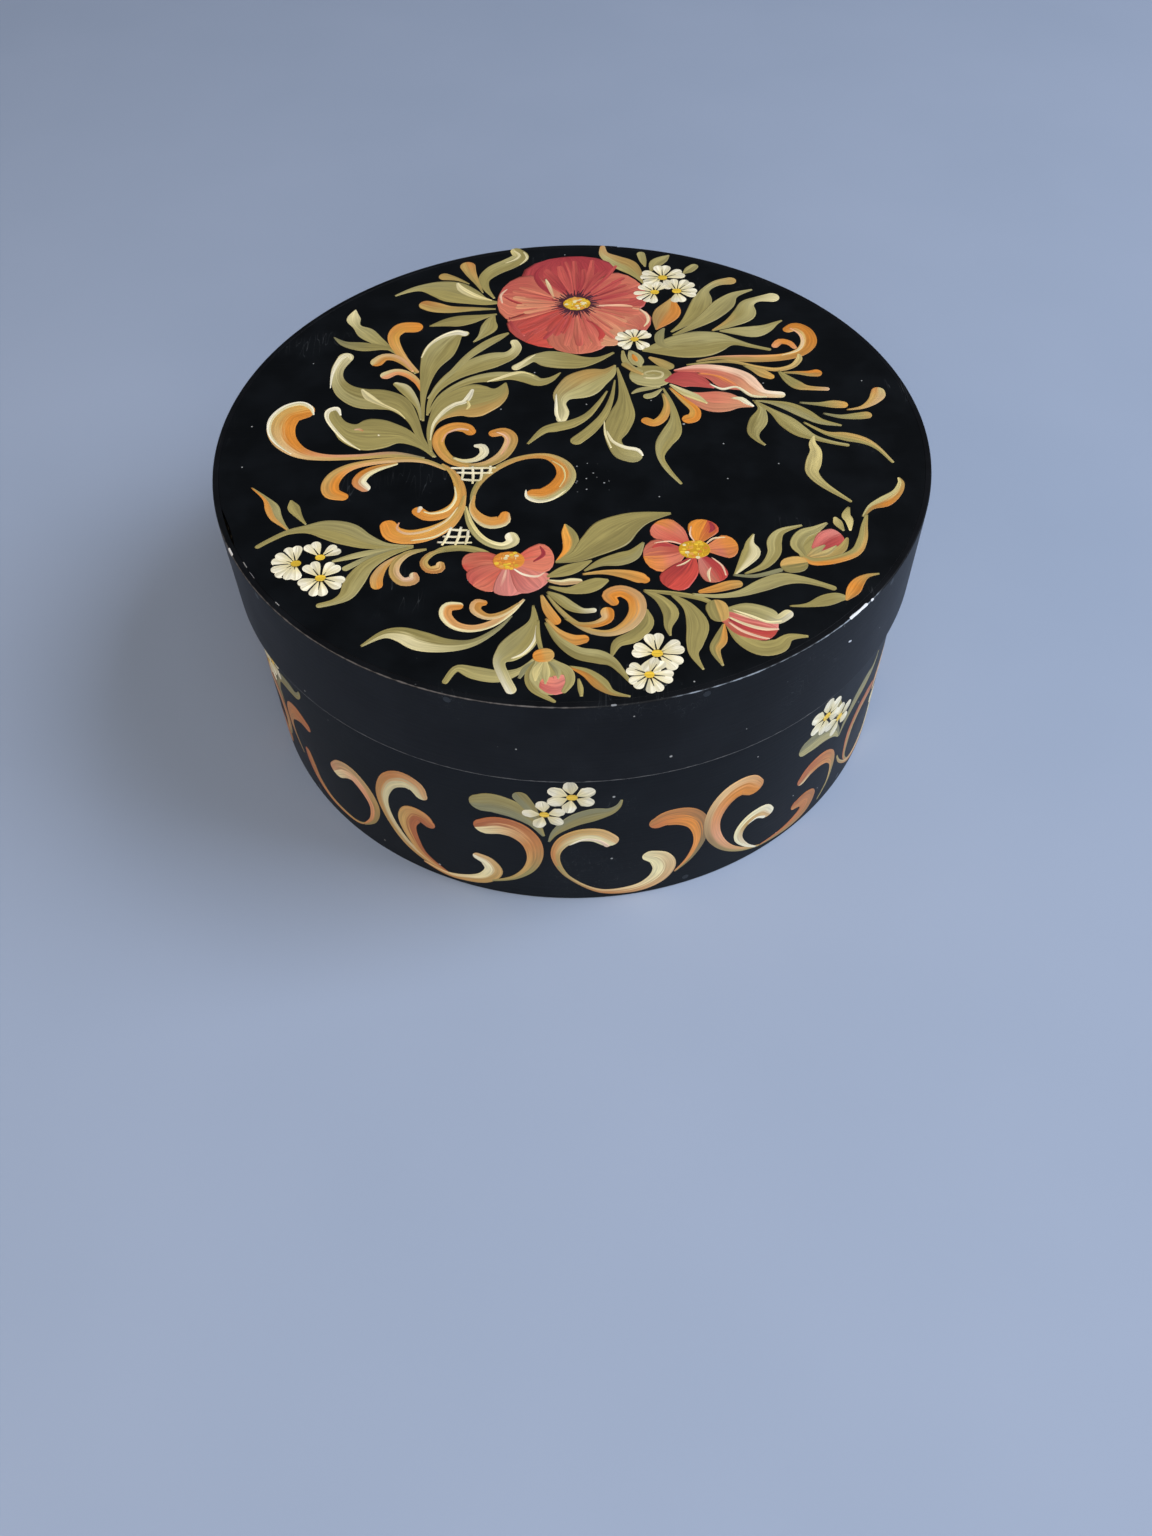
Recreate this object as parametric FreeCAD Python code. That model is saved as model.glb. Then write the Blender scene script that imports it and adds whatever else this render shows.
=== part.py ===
import FreeCAD, Part

import math
import os

# Round bentwood box with a slip-over lid, in millimetres.
#
# The wall is one thin strip of wood, steamed and bent round until its feathered ends lap
# at the back. A length of split root sews the lap, and the floor is a round board, held
# by wooden pegs. The lid is made the same way: a shorter bent band, with its board let in
# flush with the band's top edge. It slides down over the wall until its board lies on
# the wall's rim.
#
# The origin is the centre of the footprint. +Z is up, -Y is the front, and both laps are
# at the back, on +Y.

# Overall sizes
lid_diameter = 230.0
box_height = 101.0  # standing, with the lid on

# Lid
lid_band_height = 34.0
lid_band_thickness = 2.0
lid_board_thickness = 4.5

# Box
wall_thickness = 2.2
floor_thickness = 5.0
floor_recess = 1.0  # keeps the floor clear of what the box stands on

# Fits
lid_clearance = 0.3  # radial, between the wall and the lid's band
board_fit = 0.05  # radial, between a board and the band round it
peg_fit = 0.02
root_fit = 0.05

# Edges broken with a knife
band_chamfer = 0.5
board_chamfer = 0.4

# Laps, where a band's two ends slant past each other
lap_length = 38.0  # along the outside of the band
lap_tip = 0.45  # thickness left at each feathered end
lap_glue = 0.12  # between the two ends
lap_angle = 90.0  # degrees round from +X to the lap's middle

# Whittled wooden pegs, driven through a band into the edge of its board
peg_head_radius = 1.2  # to the peg's corners, as is the tip's
peg_tip_radius = 0.8
peg_length = 13.0
peg_sides = 8
floor_peg_count = 10
lid_peg_count = 10

# Lacing of split root, sewn through slots in the lap
root_width = 2.6
root_thickness = 0.7
root_chamfer = 0.25
root_tail = 6.0  # tucked away on the inside, at both ends
stitch_span = 9.0  # across the lap, between the middles of a stitch's two legs
stitch_pitch = 7.5  # up the lap, from one stitch to the next
stitch_margin = 6.0  # from the end of the free height to the nearest stitch's middle

# How far a cutting tool reaches past the face that it cuts through
overcut = 1.0

# Sizes that follow
lid_radius = lid_diameter / 2
lid_bore = lid_radius - lid_band_thickness
wall_radius = lid_bore - lid_clearance
wall_bore = wall_radius - wall_thickness

lid_band_bottom = box_height - lid_band_height
lid_board_bottom = box_height - lid_board_thickness
lid_peg_height = box_height - lid_board_thickness / 2
floor_top = floor_recess + floor_thickness
floor_peg_height = floor_recess + floor_thickness / 2

# The lid's root lies sunk in a groove, so that it clears the wall.
lid_groove_depth = root_thickness + 2 * root_fit

UP = FreeCAD.Vector(0, 0, 1)


def polar(radius, degrees):
    """The point at that radius and angle round the box's axis."""
    angle = math.radians(degrees)
    return FreeCAD.Vector(radius * math.cos(angle), radius * math.sin(angle), 0)


def angle_of(length, radius):
    """The angle in degrees that a length takes up along a circle."""
    return math.degrees(length / radius)


def line(start, end):
    return Part.LineSegment(start, end).toShape()


def arc(start, middle, end):
    return Part.Arc(start, middle, end).toShape()


def prism(edges, bottom, height):
    """A closed outline in the XY plane, raised to a solid."""
    face = Part.Face(Part.Wire(edges))
    face.translate(UP * bottom)
    return face.extrude(UP * height)


def disc(radius, bottom, top):
    return Part.makeCylinder(radius, top - bottom, UP * bottom)


def ring(outer, inner, bottom, top):
    return disc(outer, bottom, top).cut(disc(inner, bottom, top))


def break_rims(shape, size):
    """Every circular edge of a round shape, chamfered."""
    rims = [edge for edge in shape.Edges if isinstance(edge.Curve, Part.Circle)]
    return shape.makeChamfer(size, rims)


def lap_block(inner, outer, start, end, z, height):
    """A block between two radii and two angles, counted from the lap's middle, with its
    own middle at z."""
    low, middle, high = (lap_angle + a for a in (start, (start + end) / 2, end))
    edges = [
        arc(polar(outer, low), polar(outer, middle), polar(outer, high)),
        line(polar(outer, high), polar(inner, high)),
        arc(polar(inner, high), polar(inner, middle), polar(inner, low)),
        line(polar(inner, low), polar(outer, low)),
    ]
    return prism(edges, z - height / 2, height)


# Bent bands ---------------------------------------------------------------------------


def lap_gap(outer, inner, bottom, top):
    """The glue line of a lap: in at one feathered tip on the outside, slanting through
    the band's thickness, and out at the other tip on the inside."""
    half = angle_of(lap_length, outer) / 2
    step = angle_of(lap_glue, outer)
    middle = (outer + inner) / 2
    sides = []
    for shift, drop in ((0, 0), (step, lap_glue)):
        sides.append(
            [
                polar(outer + overcut, lap_angle - half - shift),
                polar(outer - lap_tip - drop, lap_angle - half - shift),
                polar(middle - drop, lap_angle - shift),
                polar(inner + lap_tip - drop, lap_angle + half - shift),
                polar(inner - overcut, lap_angle + half - shift),
            ]
        )
    over, under = sides
    edges = [
        line(over[0], over[1]),
        arc(over[1], over[2], over[3]),
        line(over[3], over[4]),
        line(over[4], under[4]),
        line(under[4], under[3]),
        arc(under[3], under[2], under[1]),
        line(under[1], under[0]),
        line(under[0], over[0]),
    ]
    return prism(edges, bottom - overcut, top - bottom + 2 * overcut)


def bent_band(outer, thickness, bottom, top):
    """One strip bent to a circle, its ends lapped and its long edges broken."""
    inner = outer - thickness
    strip = ring(outer, inner, bottom, top)
    strip = break_rims(strip, min(band_chamfer, thickness / 3))
    return strip.cut(lap_gap(outer, inner, bottom, top))


def round_board(radius, bottom, top):
    size = min(board_chamfer, (top - bottom) / 3)
    return break_rims(disc(radius, bottom, top), size)


# Pegs ---------------------------------------------------------------------------------


def whittled_peg(band_radius, angle, z, spare):
    """A faceted taper that points at the box's axis, its head proud of the band."""
    across = polar(1, angle + 90)
    wires = []
    depth = peg_length + spare
    for radius, place in ((peg_head_radius, -overcut), (peg_tip_radius, depth)):
        centre = polar(band_radius - place, angle) + UP * z
        corners = []
        for i in range(peg_sides):
            turn = math.radians((i + 0.5) * 360 / peg_sides)
            offset = across * math.cos(turn) + UP * math.sin(turn)
            corners.append(centre + offset * (radius + spare))
        wires.append(Part.makePolygon(corners + corners[:1]))
    return Part.makeLoft(wires, True, True)


def all_pegs(count, band_radius, z, spare=0.0):
    """Evenly spaced, with none of them in the lap. With spare, the holes that the pegs
    are driven into."""
    angles = [lap_angle + (i + 0.5) * 360 / count for i in range(count)]
    return [whittled_peg(band_radius, angle, z, spare) for angle in angles]


def driven_pegs(count, band_radius, z):
    """The pegs, with their heads cut off flush with the band."""
    flush = disc(band_radius, z - 2 * peg_head_radius, z + 2 * peg_head_radius)
    pegs = all_pegs(count, band_radius, z)
    return Part.makeCompound([peg.common(flush).Solids[0] for peg in pegs])


def peg_holes(count, band_radius, z):
    return Part.makeCompound(all_pegs(count, band_radius, z, peg_fit))


# Root lacing --------------------------------------------------------------------------


def stitch_heights(lowest, highest):
    """The middles of the stitches: as many as fit between two heights, at the pitch."""
    free = highest - lowest - 2 * stitch_margin
    count = int(free / stitch_pitch) + 1
    first = (lowest + highest - (count - 1) * stitch_pitch) / 2
    return [first + i * stitch_pitch for i in range(count)]


def outside_stitch(outer, inner, z):
    """One stitch as it shows, with the edges eased as on split root: a bar across the
    lap, and two legs that go through to the inside."""
    face = outer + root_fit + root_thickness
    leg = angle_of(root_thickness, outer)
    reach = (angle_of(stitch_span, outer) + leg) / 2
    bar = lap_block(inner, face, -reach, reach, z, root_width)
    shown = []
    for edge in bar.Edges:
        radii = [math.hypot(v.Point.x, v.Point.y) for v in edge.Vertexes]
        if min(radii) > outer + root_fit:
            shown.append(edge)
    bar = bar.makeChamfer(min(root_chamfer, root_thickness / 2), shown)
    held = lap_block(
        inner - overcut, outer + root_fit, leg - reach, reach - leg, z, 2 * root_width
    )
    return bar.cut(held)


def climbing_run(near, far, half_angle, start_z, end_z, width):
    """A strip between two radii that climbs as it crosses the lap on the inside."""
    out = polar(1, lap_angle)
    across = polar(1, lap_angle + 90) * far * math.sin(math.radians(half_angle))
    back = out * (near * math.cos(math.radians(half_angle)) - overcut)
    corners = [
        back + across + UP * (start_z - width / 2),
        back + across + UP * (start_z + width / 2),
        back - across + UP * (end_z + width / 2),
        back - across + UP * (end_z - width / 2),
    ]
    face = Part.Face(Part.makePolygon(corners + corners[:1]))
    slab = face.extrude(out * (far + overcut - back.dot(out)))
    low, high = min(start_z, end_z) - width, max(start_z, end_z) + width
    return slab.common(ring(far, near, low, high))


def inside_runs(near, far, half_angle, heights, spare=0.0):
    """The root's way up the inside, from each stitch to the next one, with a tail tucked
    away at both ends. With spare, the groove that it lies in."""
    width = root_width + 2 * spare
    runs = []
    for below, above in zip(heights, heights[1:]):
        runs.append(climbing_run(near, far, half_angle, below, above, width))
    tail_end = half_angle + angle_of(root_tail + spare, far)
    runs.append(lap_block(near, far, -tail_end, -half_angle, heights[0], width))
    runs.append(lap_block(near, far, half_angle, tail_end, heights[-1], width))
    return runs


def lacing(outer, inside, heights):
    """One length of root, sewn up the lap. It lies against the radius inside."""
    near, far = inside - root_fit - root_thickness, inside - root_fit
    half_angle = angle_of(stitch_span, outer) / 2
    stitches = [outside_stitch(outer, near, z) for z in heights]
    runs = inside_runs(near, far, half_angle, heights)
    return stitches[0].multiFuse(stitches[1:] + runs).removeSplitter()


def stitch_slots(outer, inner, heights):
    """Two upright slots through the lap for each stitch's legs."""
    slots = []
    half_leg = angle_of(root_thickness / 2 + root_fit, outer)
    for z in heights:
        for side in (-1, 1):
            middle = side * angle_of(stitch_span, outer) / 2
            slots.append(
                lap_block(
                    inner - overcut,
                    outer + overcut,
                    middle - half_leg,
                    middle + half_leg,
                    z,
                    root_width + 2 * root_fit,
                )
            )
    return Part.makeCompound(slots)


def lid_groove(heights):
    """The groove in the lid band's bore that the inside of its lacing lies in."""
    near, far = lid_bore - overcut, lid_bore + lid_groove_depth
    half_angle = angle_of(stitch_span, lid_radius) / 2
    return Part.makeCompound(inside_runs(near, far, half_angle, heights, root_fit))


# The pieces ---------------------------------------------------------------------------

wall_stitches = stitch_heights(floor_top, lid_band_bottom)
lid_stitches = stitch_heights(lid_band_bottom, lid_board_bottom)


def box_wall():
    wall = bent_band(wall_radius, wall_thickness, 0, lid_board_bottom)
    wall = wall.cut(peg_holes(floor_peg_count, wall_radius, floor_peg_height))
    return wall.cut(stitch_slots(wall_radius, wall_bore, wall_stitches))


def floor_board():
    board = round_board(wall_bore - board_fit, floor_recess, floor_top)
    return board.cut(peg_holes(floor_peg_count, wall_radius, floor_peg_height))


def lid_band():
    band = bent_band(lid_radius, lid_band_thickness, lid_band_bottom, box_height)
    band = band.cut(peg_holes(lid_peg_count, lid_radius, lid_peg_height))
    band = band.cut(lid_groove(lid_stitches))
    return band.cut(stitch_slots(lid_radius, lid_bore, lid_stitches))


def lid_board():
    board = round_board(lid_bore - board_fit, lid_board_bottom, box_height)
    return board.cut(peg_holes(lid_peg_count, lid_radius, lid_peg_height))


pieces = {
    "box_wall": box_wall(),
    "floor_board": floor_board(),
    "floor_pegs": driven_pegs(floor_peg_count, wall_radius, floor_peg_height),
    "wall_lacing": lacing(wall_radius, wall_bore, wall_stitches),
    "lid_band": lid_band(),
    "lid_board": lid_board(),
    "lid_pegs": driven_pegs(lid_peg_count, lid_radius, lid_peg_height),
    "lid_lacing": lacing(lid_radius, lid_bore + lid_groove_depth, lid_stitches),
}

os.makedirs("parts", exist_ok=True)
for name, shape in pieces.items():
    shape.exportStep(f"parts/{name}.step")
    volume = round(shape.Volume, 1)
    print(name, len(shape.Solids), "solids,", volume, "mm3, valid:", shape.isValid())
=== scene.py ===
# %% [markdown]
# # A round bentwood box with rose painting
#
# The box is two thin strips of softwood, each bent to a ring, lapped and sewn with split root at the
# back: a wall round a floor board, and a shallower band round the lid's board. Pegs hold the boards.
# The outside is painted black, and flowers, leaves and scrolls are brushed over it in oil colours.
#
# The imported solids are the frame, and every size is read from them. The strips and boards are made
# again with finer curves and softer edges, and the painting lies on them as thin skins of paint.

# %% Load the frame and measure it
import math
import random
from functools import partial
import bpy
import bmesh
from mathutils import Matrix, Vector


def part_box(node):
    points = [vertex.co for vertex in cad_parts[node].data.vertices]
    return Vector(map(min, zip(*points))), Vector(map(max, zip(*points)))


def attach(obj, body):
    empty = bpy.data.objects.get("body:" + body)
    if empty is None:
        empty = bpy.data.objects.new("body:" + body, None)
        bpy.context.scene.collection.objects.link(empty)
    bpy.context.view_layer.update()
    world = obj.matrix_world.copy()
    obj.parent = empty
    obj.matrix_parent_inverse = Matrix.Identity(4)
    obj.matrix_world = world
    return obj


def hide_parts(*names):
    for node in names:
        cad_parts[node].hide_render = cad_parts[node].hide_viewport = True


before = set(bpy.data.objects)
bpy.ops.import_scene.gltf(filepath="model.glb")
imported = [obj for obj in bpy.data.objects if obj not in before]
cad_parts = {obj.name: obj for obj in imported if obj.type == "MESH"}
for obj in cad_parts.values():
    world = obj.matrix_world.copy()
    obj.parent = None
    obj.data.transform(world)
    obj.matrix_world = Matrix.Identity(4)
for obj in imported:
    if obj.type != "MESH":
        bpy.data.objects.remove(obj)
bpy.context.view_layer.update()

mm = 0.001
wall_low, wall_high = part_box("box_wall")
band_low, band_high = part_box("lid_band")
floor_low, floor_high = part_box("floor_board")
top_low, top_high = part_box("lid_board")

board_fit = 0.05 * mm
peg_stands = 0.04 * mm
wall_radius = wall_high.x - peg_stands
wall_bore = floor_high.x + board_fit
band_radius = band_high.x - peg_stands
band_bore = top_high.x + board_fit
print("wall", round(wall_radius / mm, 2), "band", round(band_radius / mm, 2), "mm in radius")

# %% [markdown]
# ## Helpers for finishes
#
# Colours are written as the sRGB hex values that a paint maker would match, and turned to linear
# light for the shaders by one function. One more function adds a node and wires it, so a material
# reads from top to bottom as the layers of the real finish.

# %% Colour and node helpers
soft_step = dict(interpolation_type="SMOOTHSTEP")
colour_mix = dict(at=(0, 6, 7), out=2, data_type="RGBA")
times = dict(operation="MULTIPLY")
times_plus = dict(operation="MULTIPLY_ADD")
minus = dict(operation="SUBTRACT")
scaled_by = dict(operation="SCALE", at=(0, "Scale"))
dot_product = dict(operation="DOT_PRODUCT", out="Value")
vector_length = dict(operation="LENGTH", out="Value")
bump_inputs = dict(at=("Height", "Strength", "Distance"))


def linear(hex_colour):
    """The linear RGBA of an sRGB hex colour."""
    shares = [int(hex_colour[i:i + 2], 16) / 255 for i in (1, 3, 5)]
    return [c / 12.92 if c <= 0.04045 else ((c + 0.055) / 1.055) ** 2.4 for c in shares] + [1.0]


def node(tree, kind, *inputs, at=None, out=0, **settings):
    """Adds one shader node and gives one of its outputs. Each input is a value, a hex colour or
    another node's output, in the order of the sockets, or of those that at names."""
    made = tree.nodes.new("ShaderNode" + kind)
    for name, value in settings.items():
        setattr(made, name, value)
    for socket, value in zip(at or range(len(inputs)), inputs):
        if isinstance(value, bpy.types.NodeSocket):
            tree.links.new(value, made.inputs[socket])
        else:
            made.inputs[socket].default_value = linear(value) if isinstance(value, str) else value
    return made.outputs[out]


def blank_material(name):
    """A new material, what adds nodes to it, and a function that sets or feeds its main shader."""
    made = bpy.data.materials.new(name)
    made.use_nodes = True
    shader = made.node_tree.nodes["Principled BSDF"]

    def finish(**inputs):
        for label, value in inputs.items():
            socket = shader.inputs[label.replace("_", " ").title().replace("Ior", "IOR")]
            if isinstance(value, bpy.types.NodeSocket):
                made.node_tree.links.new(value, socket)
            else:
                socket.default_value = value

    return made, partial(node, made.node_tree), finish


def place_in_mm(add):
    """Where a point lies on the whole box, in mm."""
    return add("VectorMath", add("TexCoord", out="Object"), 1 / mm, **scaled_by)


def unevenness(add, place, scale, detail=2.0):
    """Soft humps and hollows from 0 to 1. place is in mm, and scale in humps per mm along each axis."""
    stretched = add("VectorMath", place, scale, **times)
    return add("TexNoise", stretched, 1.0, detail, at=("Vector", "Scale", "Detail"))


# %% [markdown]
# ## Camera, floor and light
#
# The camera stands where a person holding a phone would, a forearm's length above the box and in
# front of it, looking down. Three softboxes and a smaller one overhead light the box evenly, and the
# room stays dim, because a black satin lid shows whatever hangs behind it.

# %% The camera
def place_object(name, data):
    """A new object in the scene that shows the data."""
    made = bpy.data.objects.new(name, data)
    bpy.context.collection.objects.link(made)
    return made


frame_width, frame_height = 1152, 1536
focal_pixels = 1274
camera_place = Vector((-0.0004, -0.337, 0.3622))
camera_tilt, camera_turn, camera_roll = 37.63, 0.08, -1.335

camera_data = bpy.data.cameras.new("camera")
camera_data.sensor_width = 36
camera_data.lens = focal_pixels / frame_height * camera_data.sensor_width
camera = place_object("camera", camera_data)
camera.matrix_world = (
    Matrix.Translation(camera_place)
    @ Matrix.Rotation(math.radians(camera_turn), 4, "Z")
    @ Matrix.Rotation(math.radians(camera_tilt), 4, "X")
    @ Matrix.Rotation(math.radians(camera_roll), 4, "Z")
)
bpy.context.scene.camera = camera
print("lens", round(camera_data.lens, 2), "mm on a", frame_width, "x", frame_height, "frame")


# %% The lamps and the room
box_middle = Vector((0, 0, 0.06))


def softbox(name, place, size, watts, colour):
    """A square lamp that faces the middle of the box."""
    data = bpy.data.lights.new(name, "AREA")
    data.size = size
    data.energy = watts
    data.color = linear(colour)[:3]
    lamp = place_object(name, data)
    lamp.location = place
    aim = box_middle - Vector(place)
    lamp.rotation_euler = aim.to_track_quat("-Z", "Y").to_euler()
    print(name, "stands", round(aim.length, 2), "m away")


softbox("window_side", (1.6, -0.1, 1.75), 1.3, 46, "#E9F0FF")
softbox("room_side", (-1.3, -0.6, 0.8), 1.0, 5, "#FFD9B4")
softbox("front_fill", (0.2, -2.6, 1.2), 1.6, 37, "#FFFFFF")
softbox("overhead", (0.1, -0.65, 1.5), 0.9, 5, "#FFFFFF")

world = bpy.data.worlds.new("dim_room")
bpy.context.scene.world = world
world.use_nodes = True
background = world.node_tree.nodes["Background"].inputs
background["Color"].default_value = linear("#6C7078")
background["Strength"].default_value = 0.45
bpy.context.scene.view_settings.view_transform = "Standard"

# %% The floor
def object_of(name, bm):
    """A new object with the bmesh's faces."""
    mesh = bpy.data.meshes.new(name)
    bm.to_mesh(mesh)
    bm.free()
    return place_object(name, mesh)


half_floor = 3.0
bm = bmesh.new()
bmesh.ops.create_grid(bm, x_segments=8, y_segments=8, size=half_floor)
studio_floor = object_of("studio_floor", bm)

laminate, add, finish = blank_material("matt_laminate")
# A pale blue-grey laminate top: plain colour, a soft sheen and a very fine unevenness.
cloud = unevenness(add, place_in_mm(add), (0.01, 0.01, 0.01))
colour = add("Mix", cloud, "#9CAABF", "#A3B0C5", **colour_mix)
finish(base_color=colour, roughness=0.8, specular_ior_level=0.1)
studio_floor.data.materials.append(laminate)
print("floor of", laminate.name, "is", round(studio_floor.dimensions.x, 1), "m wide")

# %% [markdown]
# ## The black paint and the bare wood under it
#
# The outside is a satin oil paint, brushed on thinly: nearly black with a green-blue cast, a little uneven
# in sheen. The inside was never painted, so pale softwood shows there, with its grain running along the
# strips and across the boards. One material holds both, and a rule of place says where the paint stops.
# Handling has worn the rims, knocked out a few chips and left scratches and dust. A few stretches of the
# lid's rim are lightened with a painted highlight.

# %% Bare softwood
def softwood(add, place):
    """The colour of bare pine whose grain runs along x, with late-wood lines and fine fibres."""
    lines = unevenness(add, place, (0.012, 0.3, 0.55), 4.0)
    fibre = unevenness(add, place, (0.06, 1.5, 2.7), 3.0)
    late = add("MapRange", lines, 0.45, 0.7, **soft_step)
    pale = add("Mix", late, "#D3B284", "#A97F4E", **colour_mix)
    shadow = add("Math", fibre, 0.35, **times)
    return add("Mix", shadow, pale, "#8F6A40", **colour_mix)


# %% Distances that edges, chips and wear follow
def axis_distance(add, place):
    """How far a point lies from the box's axis, in mm."""
    flat = add("VectorMath", place, (1, 1, 0), **times)
    return add("VectorMath", flat, **vector_length)


def rim_distance(add, place, radius, height):
    """How far a point lies from the circle at that radius and height, in mm."""
    outward = add("Math", axis_distance(add, place), radius / mm, **minus)
    upward = add("Math", add("SeparateXYZ", place, out="Z"), height / mm, **minus)
    gap = add("CombineXYZ", outward, upward)
    return add("VectorMath", gap, **vector_length)


def line_distance(add, place, start, end):
    """How far a point lies from the straight line between two places, in mm."""
    start, end = Vector(start), Vector(end)
    span = end - start
    unit = span / span.length_squared
    reach = add("VectorMath", place, start, **minus)
    share = add("VectorMath", reach, unit, **dot_product)
    foot = add("VectorMath", span, add("Clamp", share), **scaled_by)
    return add("VectorMath", reach, foot, operation="DISTANCE", out="Value")


def arc_mask(add, place, angle, half):
    """1 within half degrees of an angle round the box, fading out beyond."""
    direction = (math.cos(math.radians(angle)), math.sin(math.radians(angle)), 0)
    ahead = add("VectorMath", place, direction, **dot_product)
    share = add("Math", ahead, axis_distance(add, place), operation="DIVIDE")
    near, far = math.cos(math.radians(half)), math.cos(math.radians(half * 1.25))
    return add("MapRange", share, far, near, **soft_step)


# %% Dust and scratches
def specks(add, place, spacing, size, share):
    """1 on small scattered specks. spacing and size are in mm, and share is how many cells hold one."""
    cell = add("TexVoronoi", place, 1 / spacing, at=("Vector", "Scale"))
    chosen = add("SeparateColor", cell.node.outputs["Color"])
    near = add("MapRange", cell, size / spacing, size / spacing * 0.5, **soft_step)
    kept = add("MapRange", chosen, 1 - share, 1 - share * 0.9, **soft_step)
    return add("Math", near, kept, **times)


def scratches(add, place):
    """1 on hair-fine scratches, in a few patches only."""
    hair = unevenness(add, place, (0.5, 0.05, 0.3), 1.0)
    line = add("Math", hair, 0.5, 0.004, operation="COMPARE")
    patch = add("MapRange", unevenness(add, place, (0.03, 0.03, 0.03)), 0.58, 0.68, **soft_step)
    return add("Math", line, patch, **times)


# %% Dust, worn and highlit edges, and chips
def dusted(add, place, colour, dusty_lines):
    """The colour with specks of dust on it, thicker along the dusty lines, and where they lie."""
    small, large = specks(add, place, 5.5, 0.34, 0.2), specks(add, place, 14, 0.55, 0.4)
    dust = add("Math", small, large, operation="MAXIMUM")
    for start, end, reach in dusty_lines:
        patch = add("MapRange", line_distance(add, place, start, end), reach, reach * 0.4, **soft_step)
        spots = add("Math", specks(add, place, 1.7, 0.36, 0.4), patch, **times)
        dust = add("Math", dust, spots, operation="MAXIMUM")
    dusty = add("Math", dust, 0.8, **times)
    return add("Mix", dusty, colour, "#B9BAB8", **colour_mix), dust


def worn_and_highlit(add, place, rough, colour, rims):
    """The colour with the rims lightened to their tints: worn paint, and on some stretches a painted
    highlight. A rim is its radius, height, how far the lightening reaches in mm, how strong it is and what
    shows, and for a stretch of a rim also the stretch's angle and half."""
    for radius, height, reach, amount, tint, *arc in rims:
        uneven = 1.2 if arc else 2.4
        near = add("Math", rough, uneven * reach, rim_distance(add, place, radius, height), **times_plus)
        wear_and_highlight = add("MapRange", near, 1.55 * reach, 1.05 * reach, 0.0, amount, **soft_step)
        if arc:
            wear_and_highlight = add("Math", wear_and_highlight, arc_mask(add, place, *arc), **times)
        colour = add("Mix", wear_and_highlight, colour, tint, **colour_mix)
    return colour


def chipped(add, place, rough, colour, chips):
    """The colour with chips knocked out, each a line's start, end, how wide it is in mm and what
    shows."""
    for start, end, reach, tint in chips:
        near = add("Math", rough, reach, line_distance(add, place, start, end), **times_plus)
        gone = add("MapRange", near, 1.5 * reach, 1.25 * reach, **soft_step)
        colour = add("Mix", gone, colour, tint, **colour_mix)
    return colour


# %% Satin black paint over softwood
def painted_wood(name, grain, tones=("#06080A", "#0D1013"), bare=None, rims=(), chips=(), dusty_lines=(),
                 scuffs=None):
    """Black oil paint on wood. grain says how the wood runs, bare(add, place, rough) where no paint
    lies, and scuffs(add, place, grain_place) where it is rubbed thin."""
    made, add, finish = blank_material(name)
    # Satin oil paint: black with a cool cast, a soft sheen and faint brush marks along the grain.
    place = grain_place = place_in_mm(add)
    if grain == "strip":
        grain_place = add("VectorMath", add("TexCoord", out="UV"), 1 / mm, **scaled_by)

    mottle = unevenness(add, place, (0.06, 0.06, 0.06), 3.0)
    tone = add("MapRange", mottle, 0.35, 0.7, **soft_step)
    colour = add("Mix", tone, *tones, **colour_mix)
    colour, dust = dusted(add, place, colour, dusty_lines)
    scratch = add("Math", scratches(add, place), 0.2, **times)
    colour = add("Mix", scratch, colour, "#6E7274", **colour_mix)
    rough = unevenness(add, place, (0.35, 0.35, 0.35), 4.0)
    colour = chipped(add, place, rough, worn_and_highlit(add, place, rough, colour, rims), chips)
    if scuffs:
        colour = add("Mix", scuffs(add, place, grain_place), colour, "#8A6B45", **colour_mix)
    gloss = add("Math", dust, 0.3, add("Math", mottle, 0.14, 0.36, **times_plus), **times_plus)
    if bare:
        open_wood = bare(add, place, rough)
        colour = add("Mix", open_wood, colour, softwood(add, grain_place), **colour_mix)
        gloss = add("Math", gloss, add("Math", open_wood, 0.72, **times), operation="MAXIMUM")

    brushed = unevenness(add, grain_place, (0.02, 0.9, 0.9), 3.0)
    waves = unevenness(add, place, (0.25, 0.25, 0.25), 3.0)
    relief = add("Math", waves, 0.6, brushed, **times_plus)
    bump = add("Bump", relief, 0.1, 0.3 * mm, **bump_inputs)
    finish(base_color=colour, roughness=gloss, ior=1.48, specular_ior_level=0.16, normal=bump)
    return made


# %% Where the paint stops on each piece
def inside_radius(limit, top):
    """Bare wood below top, where a point lies nearer to the axis than limit, up to an uneven edge."""
    def rule(add, place, rough):
        uneven = add("Math", rough, 0.5, axis_distance(add, place), **times_plus)
        inside = add("MapRange", uneven, limit / mm + 0.6, limit / mm + 0.45, **soft_step)
        below = add("MapRange", add("SeparateXYZ", place, out="Z"), top / mm + 0.1, top / mm, **soft_step)
        return add("Math", inside, below, **times)
    return rule


def between_heights(low, high):
    """Bare wood between two heights."""
    def rule(add, place, rough):
        uneven = add("Math", rough, 0.4, add("SeparateXYZ", place, out="Z"), **times_plus)
        above = add("MapRange", uneven, low / mm + 0.1, low / mm + 0.2, **soft_step)
        below = add("MapRange", uneven, high / mm + 0.3, high / mm + 0.2, **soft_step)
        return add("Math", above, below, **times)
    return rule


def rubbed_by_lid(add, place, strip_place):
    """Where the lid slides over the wall, its band has rubbed upright streaks in the paint."""
    up = add("SeparateXYZ", place, out="Z")
    covered = add("MapRange", up, band_low.z / mm - 1, band_low.z / mm + 6, **soft_step)
    streaks = unevenness(add, strip_place, (0.55, 0.03, 0.5), 4.0)
    rubbed = add("MapRange", streaks, 0.5, 0.72, 0.0, 0.6, **soft_step)
    return add("Math", covered, rubbed, **times)


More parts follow.
